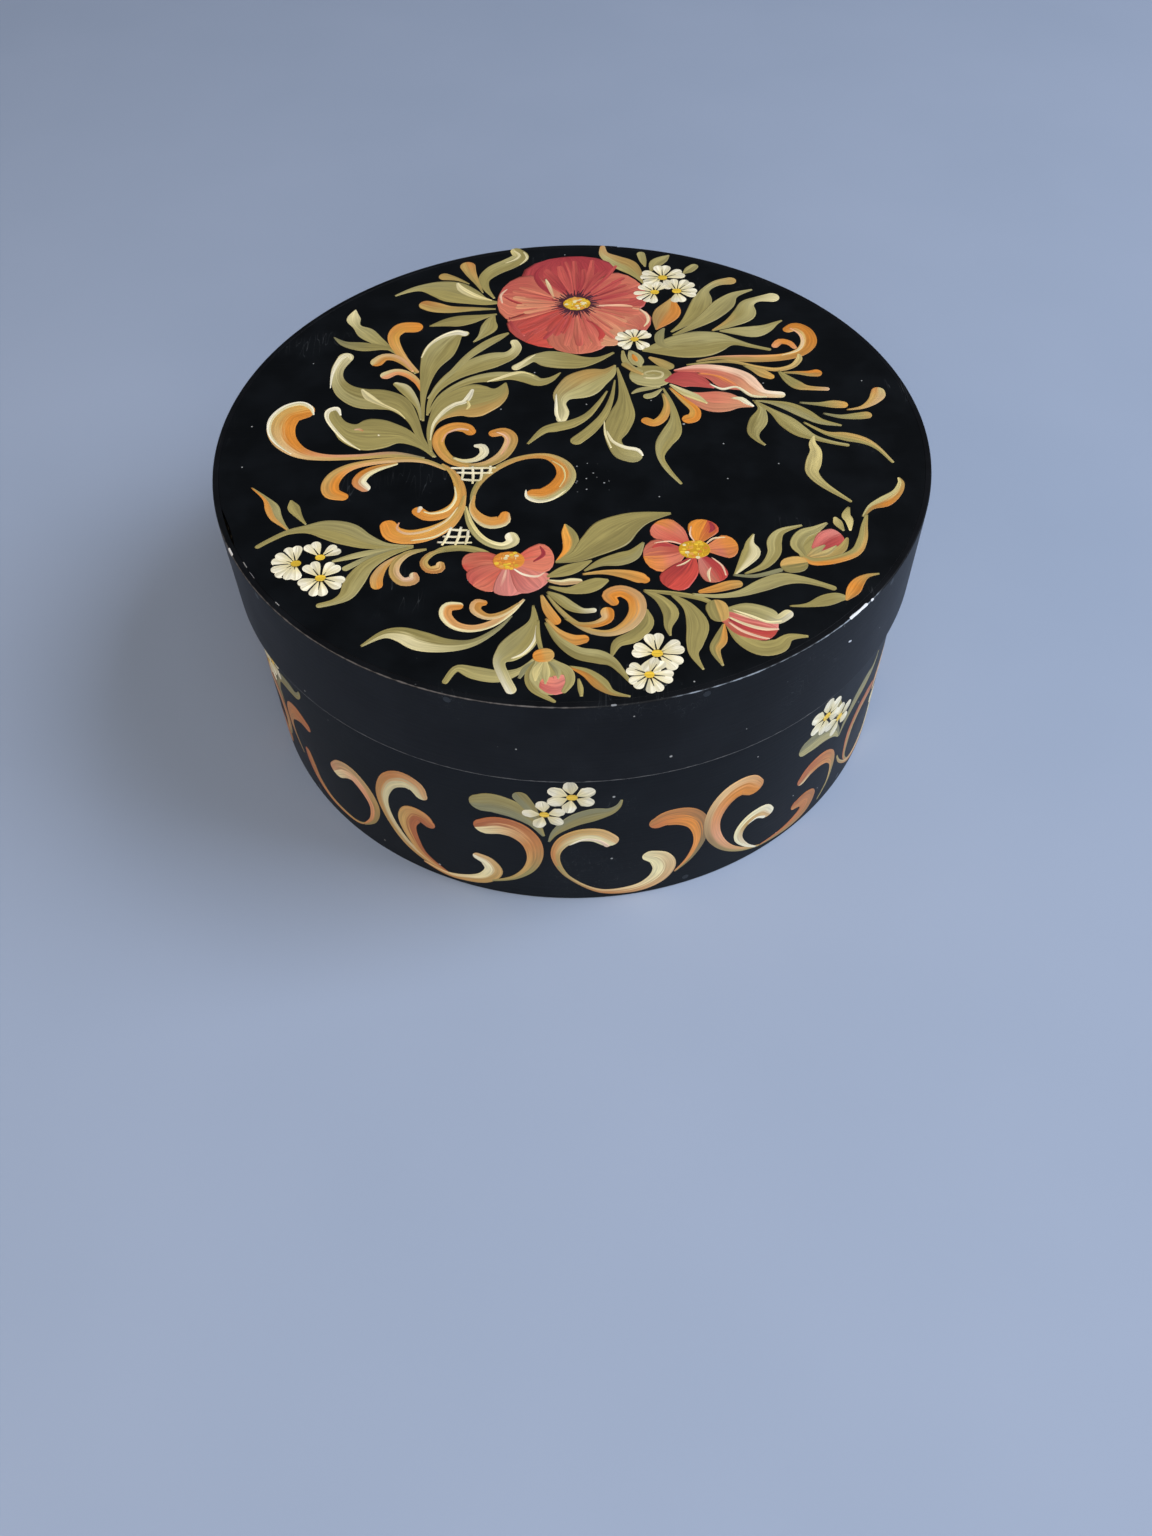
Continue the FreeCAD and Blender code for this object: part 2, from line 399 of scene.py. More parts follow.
# %% [markdown]
# ## The bent strips
#
# A strip is sawn or split to a few millimetres, feathered at both ends, steamed and bent round until
# the ends lap. In the script the strip's cut end is a small rectangle with rounded corners, and it is
# spun about the box's axis by a full turn and the length of the lap. The first and last steps of the
# turn are then thinned, one from the inside and one from the outside, so the ends slide together into
# one thickness, as the feathered ends do.

# %% Pieces from a mesh
def finish_piece(name, bm, material, body, stands_for=()):
    """Makes an object of a bmesh with the material, sets it on its body and hides the imported parts that it
    stands for.
    """
    for face in bm.faces:
        face.smooth = True
    piece = object_of(name, bm)
    piece.data.materials.append(material)
    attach(piece, body)
    for node_name in stands_for:
        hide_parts(node_name)
    print(name, "has", len(piece.data.polygons), "faces")
    return piece


def wooden_piece(name, bm, paint, body, node_name):
    """A strip or board, whose broad faces stay flat in the light, so only rounded edges catch it."""
    piece = finish_piece(name, bm, paint, body, [node_name])
    weighted = piece.modifiers.new("even_shading", "WEIGHTED_NORMAL")
    weighted.keep_sharp = True
    weighted.weight = 80


# %% Bending a strip
lap_angle = math.radians(90)
lap_reach = math.radians(9.6)
turn_steps = 380


def bent_strip(radius, bore, bottom, top, outer_rounding, inner_rounding):
    """A strip bent to a ring whose thinned ends lap at the back."""
    bm = bmesh.new()
    bmesh.ops.create_grid(bm, x_segments=1, y_segments=1, size=0.5)
    bmesh.ops.scale(bm, vec=(radius - bore, top - bottom, 1), verts=bm.verts)
    bmesh.ops.rotate(bm, cent=(0, 0, 0), matrix=Matrix.Rotation(math.radians(90), 3, "X"), verts=bm.verts)
    bmesh.ops.translate(bm, vec=((radius + bore) / 2, 0, (top + bottom) / 2), verts=bm.verts)
    corners = {outer_rounding: [], inner_rounding: []}
    for vert in bm.verts:
        corners[outer_rounding if vert.co.x > (radius + bore) / 2 else inner_rounding].append(vert)
    for rounding, verts in corners.items():
        bmesh.ops.bevel(bm, geom=verts, offset=rounding, segments=4, profile=0.5,
                        affect="VERTICES", material=-1)
    start = Matrix.Rotation(lap_angle - lap_reach, 3, "Z")
    bmesh.ops.rotate(bm, cent=(0, 0, 0), matrix=start, verts=bm.verts)
    count = len(bm.verts)
    sweep = math.tau + 2 * lap_reach
    bmesh.ops.spin(bm, geom=bm.verts[:] + bm.edges[:] + bm.faces[:], cent=(0, 0, 0), axis=(0, 0, 1),
                   angle=sweep, steps=turn_steps, use_merge=False, use_duplicate=False)
    bm.verts.index_update()
    thin_ends(bm, count, sweep, radius, bore)
    lay_strip_map(bm, count, sweep, radius)
    bmesh.ops.recalc_face_normals(bm, faces=bm.faces)
    return bm


# %% Feathered ends and the map along a strip
lap_tip = 0.45 * mm


def move_out(vert, reach):
    """Moves a vertex straight out or in, to that distance from the axis."""
    share = reach / math.hypot(vert.co.x, vert.co.y)
    vert.co.x *= share
    vert.co.y *= share


def thin_ends(bm, count, sweep, radius, bore):
    """Feathers both ends through the lap, the first from the inside and the last from the outside."""
    lap_steps = turn_steps * 2 * lap_reach / sweep
    full = radius - bore
    for index, vert in enumerate(bm.verts):
        step = index // count
        from_end = min(step, turn_steps - step)
        if from_end < lap_steps:
            depth = (radius - math.hypot(vert.co.x, vert.co.y)) / full
            kept = lap_tip + (full - 2 * lap_tip) * from_end / lap_steps
            move_out(vert, radius - depth * kept if step == from_end else bore + (1 - depth) * kept)


def lay_strip_map(bm, count, sweep, radius):
    """A map whose first value runs along the strip and whose second runs up it, both in metres."""
    layer = bm.loops.layers.uv.new("strip")
    for face in bm.faces:
        for loop in face.loops:
            along = (loop.vert.index // count) / turn_steps * sweep * radius
            loop[layer].uv = (along, loop.vert.co.z)


# %% The wall
bm = bent_strip(wall_radius, wall_bore, wall_low.z, wall_high.z,
                outer_rounding=0.6 * mm, inner_rounding=0.5 * mm)
print("wall strip volume", round(bm.calc_volume(signed=True) * 1e6, 1), "cm3")
wall_paint = painted_wood(
    "satin_black_oil_paint_wall", "strip", bare=inside_radius(wall_bore, wall_high.z),
    rims=[(wall_radius, wall_low.z, 0.8, 0.5, "#5E5C58"), (wall_radius, wall_high.z, 1.6, 0.8, "#7A6B55")],
    scuffs=rubbed_by_lid)
wooden_piece("wall_strip", bm, wall_paint, "box", "box_wall")

# %% The lid's band
paint_room = 0.27 * mm
lid_face = top_high.z - paint_room
rim_chips = [
    ((78.4, -83.8, 100.7), (83.6, -78.6, 100.7), 0.5, "#E6E8EA"),
    ((85.4, -76.8, 100.5), (85.8, -76.4, 100.5), 0.45, "#E6E8EA"),
    ((-103.6, -49.4, 100.7), (-102.4, -52, 100.7), 0.5, "#D8D6D0"),
    ((9.4, -114.3, 100.6), (10.4, -114.2, 100.6), 0.3, "#85888B"),
    ((50.6, -100, 100.7), (51.2, -99.6, 100.7), 0.4, "#C9CDD2"),
    ((79.6, -82.9, 90), (80.2, -82.3, 89.6), 0.4, "#C9CDD2"),
]
bm = bent_strip(band_radius, band_bore, band_low.z, lid_face,
                outer_rounding=0.5 * mm, inner_rounding=0.1 * mm)
band_paint = painted_wood(
    # The band's black is set a shade lighter than the black of the wall and the lid.
    "satin_black_oil_paint_band", "strip", ("#0A0B0D", "#121417"), inside_radius(band_bore, top_low.z),
    rims=[(band_radius, lid_face, 0.5, 0.5, "#4A4A49"), (band_radius, band_low.z, 0.5, 0.5, "#4A4A49"),
          # Painted highlights: the front-right and front-left stretches of the top rim, where the rounded
          # rim catches light.
          (band_radius, lid_face, 0.34, 0.85, "#98A2AD", -58, 16),
          (band_radius, lid_face, 0.4, 0.75, "#6F6A66", -124, 30),
          # Worn paint with a painted highlight on it, along the front of the band's lower edge.
          (band_radius, band_low.z, 0.8, 0.95, "#6C6B69", -95, 42)],
    chips=rim_chips)
wooden_piece("lid_strip", bm, band_paint, "lid", "lid_band")

# %% [markdown]
# ## The boards
#
# Floor and lid are round boards, planed and sawn to fit their rings. Each starts as a circle, is
# pulled up to its thickness and has its rims rounded. The lid's board is flush with the rim of its
# band, and both lie a hair low, which leaves room for the paint on them. The board has also dried out
# a little, so at one stretch of the left side it has drawn back from the band and a crack has opened.

# %% A round board
board_segments = 384
rim_inset = 1.5 * mm


def round_board(radius, bottom, top, rounding):
    """A round board with softened rims."""
    bm = bmesh.new()
    bmesh.ops.create_circle(bm, cap_ends=True, segments=board_segments, radius=radius)
    bmesh.ops.translate(bm, vec=(0, 0, bottom), verts=bm.verts)
    grown = bmesh.ops.extrude_face_region(bm, geom=bm.faces[:])
    raised = [item for item in grown["geom"] if isinstance(item, bmesh.types.BMVert)]
    bmesh.ops.translate(bm, vec=(0, 0, top - bottom), verts=raised)
    bmesh.ops.recalc_face_normals(bm, faces=bm.faces)
    rims = [edge for edge in bm.edges if abs(edge.verts[0].co.z - edge.verts[1].co.z) < rounding / 10]
    bmesh.ops.bevel(bm, geom=rims, offset=rounding, segments=3, profile=0.5,
                    affect="EDGES", material=-1)
    broad = [face for face in bm.faces if len(face.verts) > 4]
    bmesh.ops.inset_region(bm, faces=broad, thickness=rim_inset)
    return bm


# %% The crack at the lid board's rim
crack_middle, crack_reach = math.radians(200.8), math.radians(4.5)
crack_width, crack_depth = 0.9 * mm, 1.2 * mm


def open_crack(bm, radius):
    """Draws the board's rim back from the band along one stretch."""
    for vert in bm.verts:
        reach = math.hypot(vert.co.x, vert.co.y)
        angle = math.atan2(vert.co.y, vert.co.x) % math.tau
        near = max(0.0, 1 - abs(angle - crack_middle) / crack_reach)
        if reach > radius - crack_depth:
            move_out(vert, reach - crack_width * near ** 0.5)


# %% The lid's board and the floor
seam_chips = [
    ((-98.4, -55.6, 100.7), (-97.2, -57.6, 100.7), 0.34, "#8F8D89"),
    ((-96, -59.8, 100.7), (-94.4, -62.2, 100.7), 0.3, "#77767A"),
    ((-86.6, -72.6, 100.7), (-85.6, -73.8, 100.7), 0.34, "#9B9A97"),
]
dusty_lines = [((4, -13, 100.7), (7.5, -26, 100.7), 7), ((-32, -62, 100.7), (-34, -66, 100.7), 4)]
bm = round_board(top_high.x, top_low.z, lid_face, rounding=0.1 * mm)
open_crack(bm, top_high.x)
lid_paint = painted_wood(
    "satin_black_oil_paint_lid", "board", bare=between_heights(top_low.z - mm, top_low.z + 0.3 * mm),
    chips=seam_chips, dusty_lines=dusty_lines)
wooden_piece("lid_top", bm, lid_paint, "lid", "lid_board")

bm = round_board(floor_high.x, floor_low.z, floor_high.z, rounding=0.3 * mm)
floor_paint = painted_wood(
    "bare_softwood_floor", "board", bare=between_heights(floor_low.z + 0.4 * mm, floor_high.z + mm))
wooden_piece("box_floor", bm, floor_paint, "box", "floor_board")

# %% [markdown]
# ## Pegs and root
#
# The pegs are whittled from harder wood and driven in flush, and their heads were painted over with
# the rest. The root is split, soaked and sewn wet, one length to each lap: out through a slot, across
# the lap, in again and up to the next stitch, with its ends tucked away inside. Outside it took the
# black paint, which has rubbed off its crown in places, and inside it is bare and brown.

# %% Peg wood and split root
def painted_over(name, light, dark, limit, fibres, crown):
    """Bare wood inside the box, and black paint outside the radius limit, in mm, which has worn off
    from crown mm above that. fibres are the grain's humps per mm along each axis."""
    made, add, finish = blank_material(name)
    place = place_in_mm(add)
    fibre = unevenness(add, place, fibres, 4.0)
    tone = add("MapRange", fibre, 0.35, 0.65, **soft_step)
    wood = add("Mix", tone, light, dark, **colour_mix)
    black = add("Mix", tone, "#0D1113", "#171B1E", **colour_mix)
    reach = axis_distance(add, place)
    outside = add("MapRange", reach, limit - 0.25, limit - 0.1, **soft_step)
    colour = add("Mix", outside, wood, black, **colour_mix)
    uneven = add("Math", fibre, 0.9, reach, **times_plus)
    rubbed = add("MapRange", uneven, limit + crown + 0.5, limit + crown + 0.75, 0.0, 0.6, **soft_step)
    colour = add("Mix", rubbed, colour, "#5A4632", **colour_mix)
    gloss = add("Math", outside, -0.37, 0.75, **times_plus)
    bump = add("Bump", fibre, 0.35, 0.25 * mm, **bump_inputs)
    finish(base_color=colour, roughness=gloss, ior=1.48, normal=bump)
    return made


for node_name, limit in (("floor_pegs", wall_radius), ("lid_pegs", band_radius)):
    wood = painted_over("whittled_wood_" + node_name, "#C79B62", "#9C7444", limit / mm,
                        fibres=(0.9, 0.9, 0.25), crown=3)
    cad_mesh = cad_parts[node_name].data
    cad_mesh.materials.clear()
    cad_mesh.materials.append(wood)
    print(node_name, "finished with", wood.name)

# %% The path of the lacing
root_off = 0.4
half_stitch, root_tail = 4.5, 5.6
stitch_pitch = 7.5
corner_ease, path_pitch = 0.55, 1.5


def sewn_path(low, high, inner, outer):
    """The root's middle line in mm: along the lap, out from the axis, and up."""
    count = round((high - low) / stitch_pitch) + 1
    inside, outside = inner - root_off, outer + root_off
    stops = [(half_stitch + root_tail, inside, low)]
    for k in range(count):
        z = low + (high - low) * k / (count - 1)
        stops += [(half_stitch, inside, z), (half_stitch, outside, z)]
        stops += [(-half_stitch, outside, z), (-half_stitch, inside, z)]
    stops.append((-half_stitch - root_tail, inside, high))
    stops = [Vector(stop) for stop in stops]
    path = [stops[0]]
    for before, corner, after in zip(stops, stops[1:], stops[2:]):
        start = corner + (before - corner).normalized() * corner_ease
        end = corner + (after - corner).normalized() * corner_ease
        gap = start - path[-1]
        pieces = max(1, round(gap.length / path_pitch))
        path += [path[-1] + gap * j / pieces for j in range(1, pieces)]
        path += [start, (start + end + 2 * corner) / 4, end]
    return path + [stops[-1]]


# %% The sewn root
root_width, root_thickness = 2.6, 0.68
root_sides = 12


def sewn_root(low, high, inner, outer):
    """A split root along its path: a flat oval all the way, which stands upright on its edge."""
    path = sewn_path(low, high, inner, outer)
    last = len(path) - 1
    bm = bmesh.new()
    made = bmesh.ops.create_grid(bm, x_segments=last, y_segments=root_sides, size=0.5)
    for k, spot in enumerate(path):
        onward = path[min(k + 1, last)].xy - path[max(k - 1, 0)].xy
        sideways = Vector((-onward.y, onward.x)).normalized()
        width = root_width * (0.95 + 0.05 * math.sin(1.9 * k))
        for side in range(root_sides + 1):
            turn = math.tau * (side % root_sides) / root_sides
            cos, sin = math.cos(turn), math.sin(turn)
            across = sideways * math.copysign(abs(sin) ** 0.8, sin) * root_thickness / 2
            angle = lap_angle + (spot.x + across.x) / outer
            reach = (spot.y + across.y) * mm
            up = spot.z + math.copysign(abs(cos) ** 0.6, cos) * width / 2
            place = Vector((reach * math.cos(angle), reach * math.sin(angle), up * mm))
            made["verts"][side * (last + 1) + k].co = place
    bmesh.ops.remove_doubles(bm, verts=bm.verts, dist=0.001 * mm)
    bmesh.ops.holes_fill(bm, edges=[edge for edge in bm.edges if edge.is_boundary])
    bmesh.ops.recalc_face_normals(bm, faces=bm.faces)
    return bm


for body, node_name, inner, outer in (
        ("box", "wall_lacing", wall_bore, wall_radius),
        ("lid", "lid_lacing", band_bore + 0.8 * mm, band_radius)):
    low, high = (corner.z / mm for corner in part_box(node_name))
    root = painted_over("split_root_" + body, "#9A6E42", "#6B4727", outer / mm,
                        fibres=(0.2, 1.6, 2.2), crown=0.72)
    bm = sewn_root(low + root_width / 2, high - root_width / 2, inner / mm, outer / mm)
    finish_piece(body + "_root", bm, root, body, [node_name])

# %% [markdown]
# ## Oil colours and the brush
#
# Rose painting is done with few strokes: the brush is loaded with one colour on each side, set down,
# pressed until it spreads, and lifted as it turns, so a single stroke gives a leaf or a scroll with a
# light edge. The paint stands a little proud, and hairs of the brush leave streaks along the stroke.
#
# In the script a stroke is a grid that is laid along a smooth line of given points, each with the width of
# the pressed brush there. The grid is domed, and extruded downwards to close it. Each corner remembers the
# colours of both sides of the brush and how far along and across the stroke it lies, and one material mixes
# the two colours with streaks. Where strokes cross, the later one lies a layer higher, so no two skins of
# paint share a surface.

# %% The colours on the palette
palette = {
    "olive": "#A29458", "sage": "#B5AA72", "grey_olive": "#8A8660",
    "cream": "#F0E2AC", "white": "#F8F0D2", "butter": "#E4D18C", "tan": "#CBA35C",
    "orange": "#E39036", "amber": "#EAAD50", "ochre": "#DDA824", "yellow": "#F0C63C",
    "crimson": "#AA3A40", "red": "#CB4C40", "rose": "#C85A50", "salmon": "#DC7E62",
    "peach": "#E8A67A", "pink": "#E68E80", "blush": "#F2C8A6", "maroon": "#4E2430",
    "rust": "#BC6E3C", "copper": "#CC8848", "sand": "#E2BA82", "clay": "#96794E",
    "shadow": "#1C1F1A",
}
colours = {name: linear(value) for name, value in palette.items()}
print(len(colours), "colours on the palette")


def shade(names, share):
    """The colour a share of the way along a row of colour names, such as "olive>cream"."""
    row = [colours[name] for name in names.split(">")]
    spot = share * (len(row) - 1)
    first = min(int(spot), max(len(row) - 2, 0))
    second = min(first + 1, len(row) - 1)
    return [a + (b - a) * (spot - first) for a, b in zip(row[first], row[second])]


# %% The material of the brushed colours
oil_colour, add, finish = blank_material("brushed_oil_colour")
# Oil colour has a soft gloss, and the hairs leave streaks of both colours and fine ridges.
brush_place = add("Attribute", attribute_name="brush", out="Vector")
left_side = add("Attribute", attribute_name="left_colour")
right_side = add("Attribute", attribute_name="right_colour")
hairs = unevenness(add, brush_place, (0.06, 1.1, 0.0), 3.0)
fine_hairs = unevenness(add, brush_place, (0.12, 3.2, 0.0), 3.0)
ragged = add("Math", hairs, 1.5, -0.75, **times_plus)
across = add("Math", add("SeparateXYZ", brush_place, out="Z"), ragged)
side = add("MapRange", across, 0.32, -0.32, **soft_step)
mixed = add("Mix", side, left_side, right_side, **colour_mix)
tone = add("MapRange", hairs, 0.3, 0.7, 0.8, 1.16)
fine_tone = add("MapRange", fine_hairs, 0.3, 0.7, 0.88, 1.1)
strength = add("Math", tone, fine_tone, **times)
toned = add("HueSaturation", mixed, strength, at=("Color", "Value"))
ridges = add("Bump", fine_hairs, 0.3, 0.12 * mm, **bump_inputs)
finish(base_color=toned, roughness=0.42, ior=1.48, normal=ridges)

# %% The surfaces that are painted
# In mm: how deep a stroke reaches into the wood, and how much higher each layer lies.
embed = 0.06
step_up = 0.02
highest_layer = 11


def on_lid(x, y, height):
    """A point on the lid, x to the right and y to the back, in mm."""
    return Vector((x * mm, y * mm, lid_face + height * mm))


def on_wall(x, y, height):
    """A point on the wall, x round it from the front and y up, in mm."""
    angle = x * mm / wall_radius - math.pi / 2
    reach = wall_radius + height * mm
    return Vector((reach * math.cos(angle), reach * math.sin(angle), y * mm))


# %% The path of one stroke
# In mm: how far apart a stroke's rings lie, and the width from which its ends are rounded off.
ring_pitch, round_ends_from = 1.1, 0.9
fewest_rings, most_rings = 8, 46
cap_turns = [math.radians(turn) for turn in (25, 48, 68, 86)]


def follow(points, share):
    """Place and width a share of the way along a smooth line through the points."""
    spans = len(points) - 1
    first = min(int(share * spans), spans - 1)
    s = share * spans - first
    a, b, c, d = (points[min(max(first + k, 0), spans)] for k in (-1, 0, 1, 2))
    return b + 0.5 * s * ((c - a) + s * ((2 * a - 5 * b + 4 * c - d) + s * (3 * (b - c) + d - a)))


def rings_along(points, blunt):
    """Places and widths along a stroke, with its ends rounded off where the brush is wide."""
    length = sum((points[k + 1].xy - points[k].xy).length for k in range(len(points) - 1))
    count = max(fewest_rings, min(most_rings, round(length / ring_pitch)))
    rings = [follow(points, k / count) for k in range(count + 1)]
    start, end = rings[0], rings[-1]
    for ring, before in ((start, rings[1]), (end, rings[-2])):
        if ring.z < round_ends_from:
            continue
        onward = (ring.xy - before.xy).normalized() * ring.z / 2 * blunt
        rounded = [Vector((*(ring.xy + onward * math.sin(t)), ring.z * math.cos(t))) for t in cap_turns]
        rings = rings + rounded if ring is end else rounded[::-1] + rings
    return rings


# %% Which stroke lies on which
# In mm: the square cells that marks are kept by, so only near ones are looked at, how far past a
# stroke's edge they are looked for, and the least width of a mark.
cell_width = 4.0
search_past_edge = 9
least_mark = 0.6


def layer_above(painted, rings, mark):
    """The layer for a stroke: one above the highest that it crosses, which painted keeps by place.
    A stroke without a mark lets the next one lie as low as itself."""
    marks = [(ring.xy, max(ring.z, least_mark) / 2) for ring in rings]
    layer = 0
    for spot, half in marks:
        reach = math.ceil((half + search_past_edge) / cell_width)
        column, row = (int(value // cell_width) for value in spot)
        for i in range(column - reach, column + reach + 1):
            for j in range(row - reach, row + reach + 1):
                for other, other_half, level in painted.get((i, j), ()):
                    if level >= layer and (other - spot).length < half + other_half:
                        layer = level + 1
    layer = min(layer, highest_layer)
    for spot, half in marks if mark else ():
        painted.setdefault(tuple(int(value // cell_width) for value in spot), []).append((spot, half, layer))
    return layer


# %% One stroke
hair_rows = (-1.0, -0.9, -0.55, 0.0, 0.55, 0.9, 1.0)
# In mm: a stroke's edge, the most that its crown adds, and what it adds for each mm of half the width.
edge_height, most_crown, crown_share = 0.012, 0.016, 0.012
thinnest = 0.06
streak_shift = 37.0
brush_sides = {"left_colour": (0.94, 1.14), "right_colour": (0.8, 1.02)}
tone_rng = random.Random(19)
strokes_made = 0


def brush(bm, surface, painted, colours_used, numbers, blunt=1.0, split=0.0, mark=True):
    """Paints one stroke. numbers are x, y and width in mm, point after point, and colours_used are
    the colours at the left and at the right of the brush, which meet at split, from -1 at the right
    to 1 at the left."""
    global strokes_made
    strokes_made += 1
    rings = rings_along([Vector(numbers[k:k + 3]) for k in range(0, len(numbers), 3)], blunt)
    sides = [(bm.verts.layers.float_color[name], side, tone_rng.uniform(*tones))
             for (name, tones), side in zip(brush_sides.items(), colours_used.split("|") * 2)]
    brush_layer = bm.verts.layers.float_vector["brush"]
    last = len(rings) - 1
    lift = layer_above(painted, rings, mark) * step_up
    widest = max(ring.z for ring in rings) / 2
    made = bmesh.ops.create_grid(bm, x_segments=last, y_segments=len(hair_rows) - 1, size=0.5)
    grid = made["verts"]
    travelled = strokes_made * streak_shift
    for k, ring in enumerate(rings):
        onward = (rings[min(k + 1, last)].xy - rings[max(k - 1, 0)].xy).normalized()
        sideways = Vector((-onward.y, onward.x))
        travelled += (ring.xy - rings[max(k - 1, 0)].xy).length
        half = max(ring.z, thinnest) / 2
        paints = [(layer, [value * tone for value in shade(side, k / last)])
                  for layer, side, tone in sides]
        for row, across in enumerate(hair_rows):
            vert = grid[row * (last + 1) + k]
            spot = ring.xy + sideways * across * half
            dome = edge_height + min(most_crown, crown_share * half) * (1 - across * across)
            vert.co = surface(spot.x, spot.y, lift + dome)
            vert[brush_layer] = Vector((travelled, across * widest, across - split))
            for layer, paint in paints:
                vert[layer] = paint
    close_stroke(bm, grid, surface)
    return lift


# %% Closing a stroke, and painting a group of them
def close_stroke(bm, grid, surface):
    """Gives a stroke its thickness: its copy is pushed down through the surface it lies on."""
    faces = list(dict.fromkeys(face for vert in grid for face in vert.link_faces))
    grown = bmesh.ops.extrude_face_region(bm, geom=faces)
    for item in grown["geom"]:
        if isinstance(item, bmesh.types.BMVert) and surface is on_lid:
            item.co.z = lid_face - embed * mm
        elif isinstance(item, bmesh.types.BMVert):
            move_out(item, wall_radius - embed * mm)


painted_places = {on_lid: {}, on_wall: {}}


def paint_group(name, surface, strokes):
    """Paints strokes as one piece. A stroke is (colours, numbers) or (colours, numbers, options)."""
    bm = bmesh.new()
    for side in brush_sides:
        bm.verts.layers.float_color.new(side)
    bm.verts.layers.float_vector.new("brush")
    painted = painted_places[surface]
    lifts = [brush(bm, surface, painted, *stroke[:2], **dict(*stroke[2:])) for stroke in strokes]
    bmesh.ops.recalc_face_normals(bm, faces=bm.faces)
    print(len(strokes), "strokes up to", round(max(lifts), 2), "mm high")
    finish_piece(name, bm, oil_colour, "lid" if surface is on_lid else "box")


# %% [markdown]
# ## The scrolls on the lid
#
# The heart of the painting is a pair of C-scrolls that stand back to back, with a lyre on top and two
# small lattices between them. Each scroll starts as a thin tail, swells and ends in a round head, with
# orange inside and a pale edge outside, and some heads get a thin light line painted along them.

# %% Scrolls
lyre = [
    ("olive>tan>sand>tan>amber|grey_olive>peach>orange>orange>orange", [-47, -9, .8, -57, -6.8, 2.8,
     -68, -7.6, 2.6, -78, -7.6, 3, -85, -6, 4.6, -89.5, -3, 6.2, -93.4, 2.2, 8.2, -95, 8.8, 9.6,
     -93.3, 14.6, 9.6, -88.8, 16.6, 8]),
    ("white|cream", [-90, -5.5, .3, -95.5, 0, 1, -98.6, 6, 1.3, -98.8, 13, 1.7, -95.3, 18.8, 2,
     -90.2, 20.9, 2, -86.5, 18.6, 1.6, -85, 14.6, .5]),
    ("tan>sand>orange>orange|olive>tan>tan>orange", [-40, -14.5, 1.5, -46, -10.8, 2, -52, -9.5, 2.4,
     -59, -9.8, 2.6, -66, -11, 2.8, -71, -13, 3.6, -74.5, -16.5, 5, -76, -21, 5.6, -75, -25, 5.4,
     -71.5, -26.8, 3.6]),
    ("cream>cream>white|tan>orange>peach", [-56, -11.5, 1.4, -61.5, -13.4, 3, -65.5, -16.2, 4.2,
     -67, -20, 4.6, -65, -22.8, 3.8]),
    ("tan>orange|olive>amber>orange", [-29.5, -13.3, 1.6, -34, -12.8, 2.6, -38.5, -10.3, 3.4,
     -41.5, -6, 3.8, -43, -1, 4, -42, 4, 4.2, -38.5, 6.6, 4.4, -34.5, 6, 4.6, -32.8, 4, 3.8]),
    ("peach>blush", [-41.8, -1, .3, -40.4, 3.2, .6, -36.6, 5.4, 1, -33.4, 4.8, .6]),
    ("tan>sand>orange|olive>tan>orange", [-32, -13.2, 1.6, -27, -12.5, 3, -22.5, -9, 4, -20, -4, 4.4,
     -19.5, .5, 4.4, -21.8, 3.4, 4.2, -25, 2.8, 3.6]),
    ("peach>blush", [-22.4, -8, .3, -20.4, -2.5, .6, -21.3, 1.4, .7, -24.3, 3.4, .4]),
    ("butter>white|cream>white", [-38, -9, .8, -34.5, -10.8, 1.6, -30.5, -10.2, 2.2, -28, -7.2, 3,
     -28.6, -4, 2.8, -30.6, -3.4, 1.6]),
    ("olive>olive>tan>sage>butter|olive>tan>orange>orange", [-30, -36, 1, -31, -29, 1.6, -29.5, -22.5, 2,
     -25.5, -16.5, 2.2, -19.5, -11.6, 2.2, -13.5, -9.3, 2.2, -7.5, -9.6, 3, -3.2, -13.5, 5, -1.8, -19, 6.4,
     -4.2, -24.5, 6.8, -8.5, -28, 6.6, -11.8, -28, 5.6], dict(split=.25)),
    ("butter", [-6.5, -11.5, .3, -3, -15, .6, -2.2, -20, .5, -4, -24.6, .3]),
    ("cream>white", [-2, -26, .3, -6, -29.9, 1, -10.5, -31, 1.4, -14, -29, 1.2, -14.4, -25.5, .4]),
    ("tan>orange|olive>amber>orange", [-41, -12.5, 1, -38, -16, 2.2, -35.8, -21, 3.2, -34.8, -27, 3.8,
     -36, -32.5, 4.4, -40, -36, 4.2, -44.5, -36.8, 4, -47.5, -34.5, 4]),
    ("cream", [-36.8, -23, .3, -36.2, -29, .8, -38.6, -34, 1, -43, -35.6, .8, -46, -34.6, .4]),
    ("tan>orange|olive>cream>cream>orange", [-30.5, -28, 1, -31, -33, 2, -29, -37.5, 3.6, -25.5, -40.3, 5.2,
     -21.6, -39.6, 5, -20.8, -37, 3.2], dict(split=-.6)),
    ("olive>butter>cream>white|olive>sage>cream", [-33, -33, 1, -31.5, -40, 2.2, -29, -45.5, 2.6,
     -25.5, -49.3, 2.8, -21.3, -50.8, 3, -18.3, -49, 4, -18.7, -46.8, 4]),
    ("tan>orange|olive>amber>orange", [-33.5, -28, 1, -34.5, -34, 2.5, -38, -40.5, 4.5, -43.5, -44.5, 5.8,
     -49.5, -46, 6.2, -54.3, -44.5, 6.4, -56.2, -41, 5.4]),
    ("cream>peach", [-35.4, -33, .3, -38.6, -39, .7, -44, -43.2, .9, -50, -44.6, 1, -53.4, -42.4, .8,
     -53, -39.4, .4]),
    ("cream", [-37, -42, .3, -42, -46.2, .7, -49, -47.6, .4]),
    ("white>blush", [-47, -33, 1.6, -47.4, -34.6, 1]),
    ("olive", [-43, -54, .8, -39, -51.8, 2.4, -33, -51.3, 2.6, -27.5, -53, 2.2, -23.8, -55.2, .8]),
]

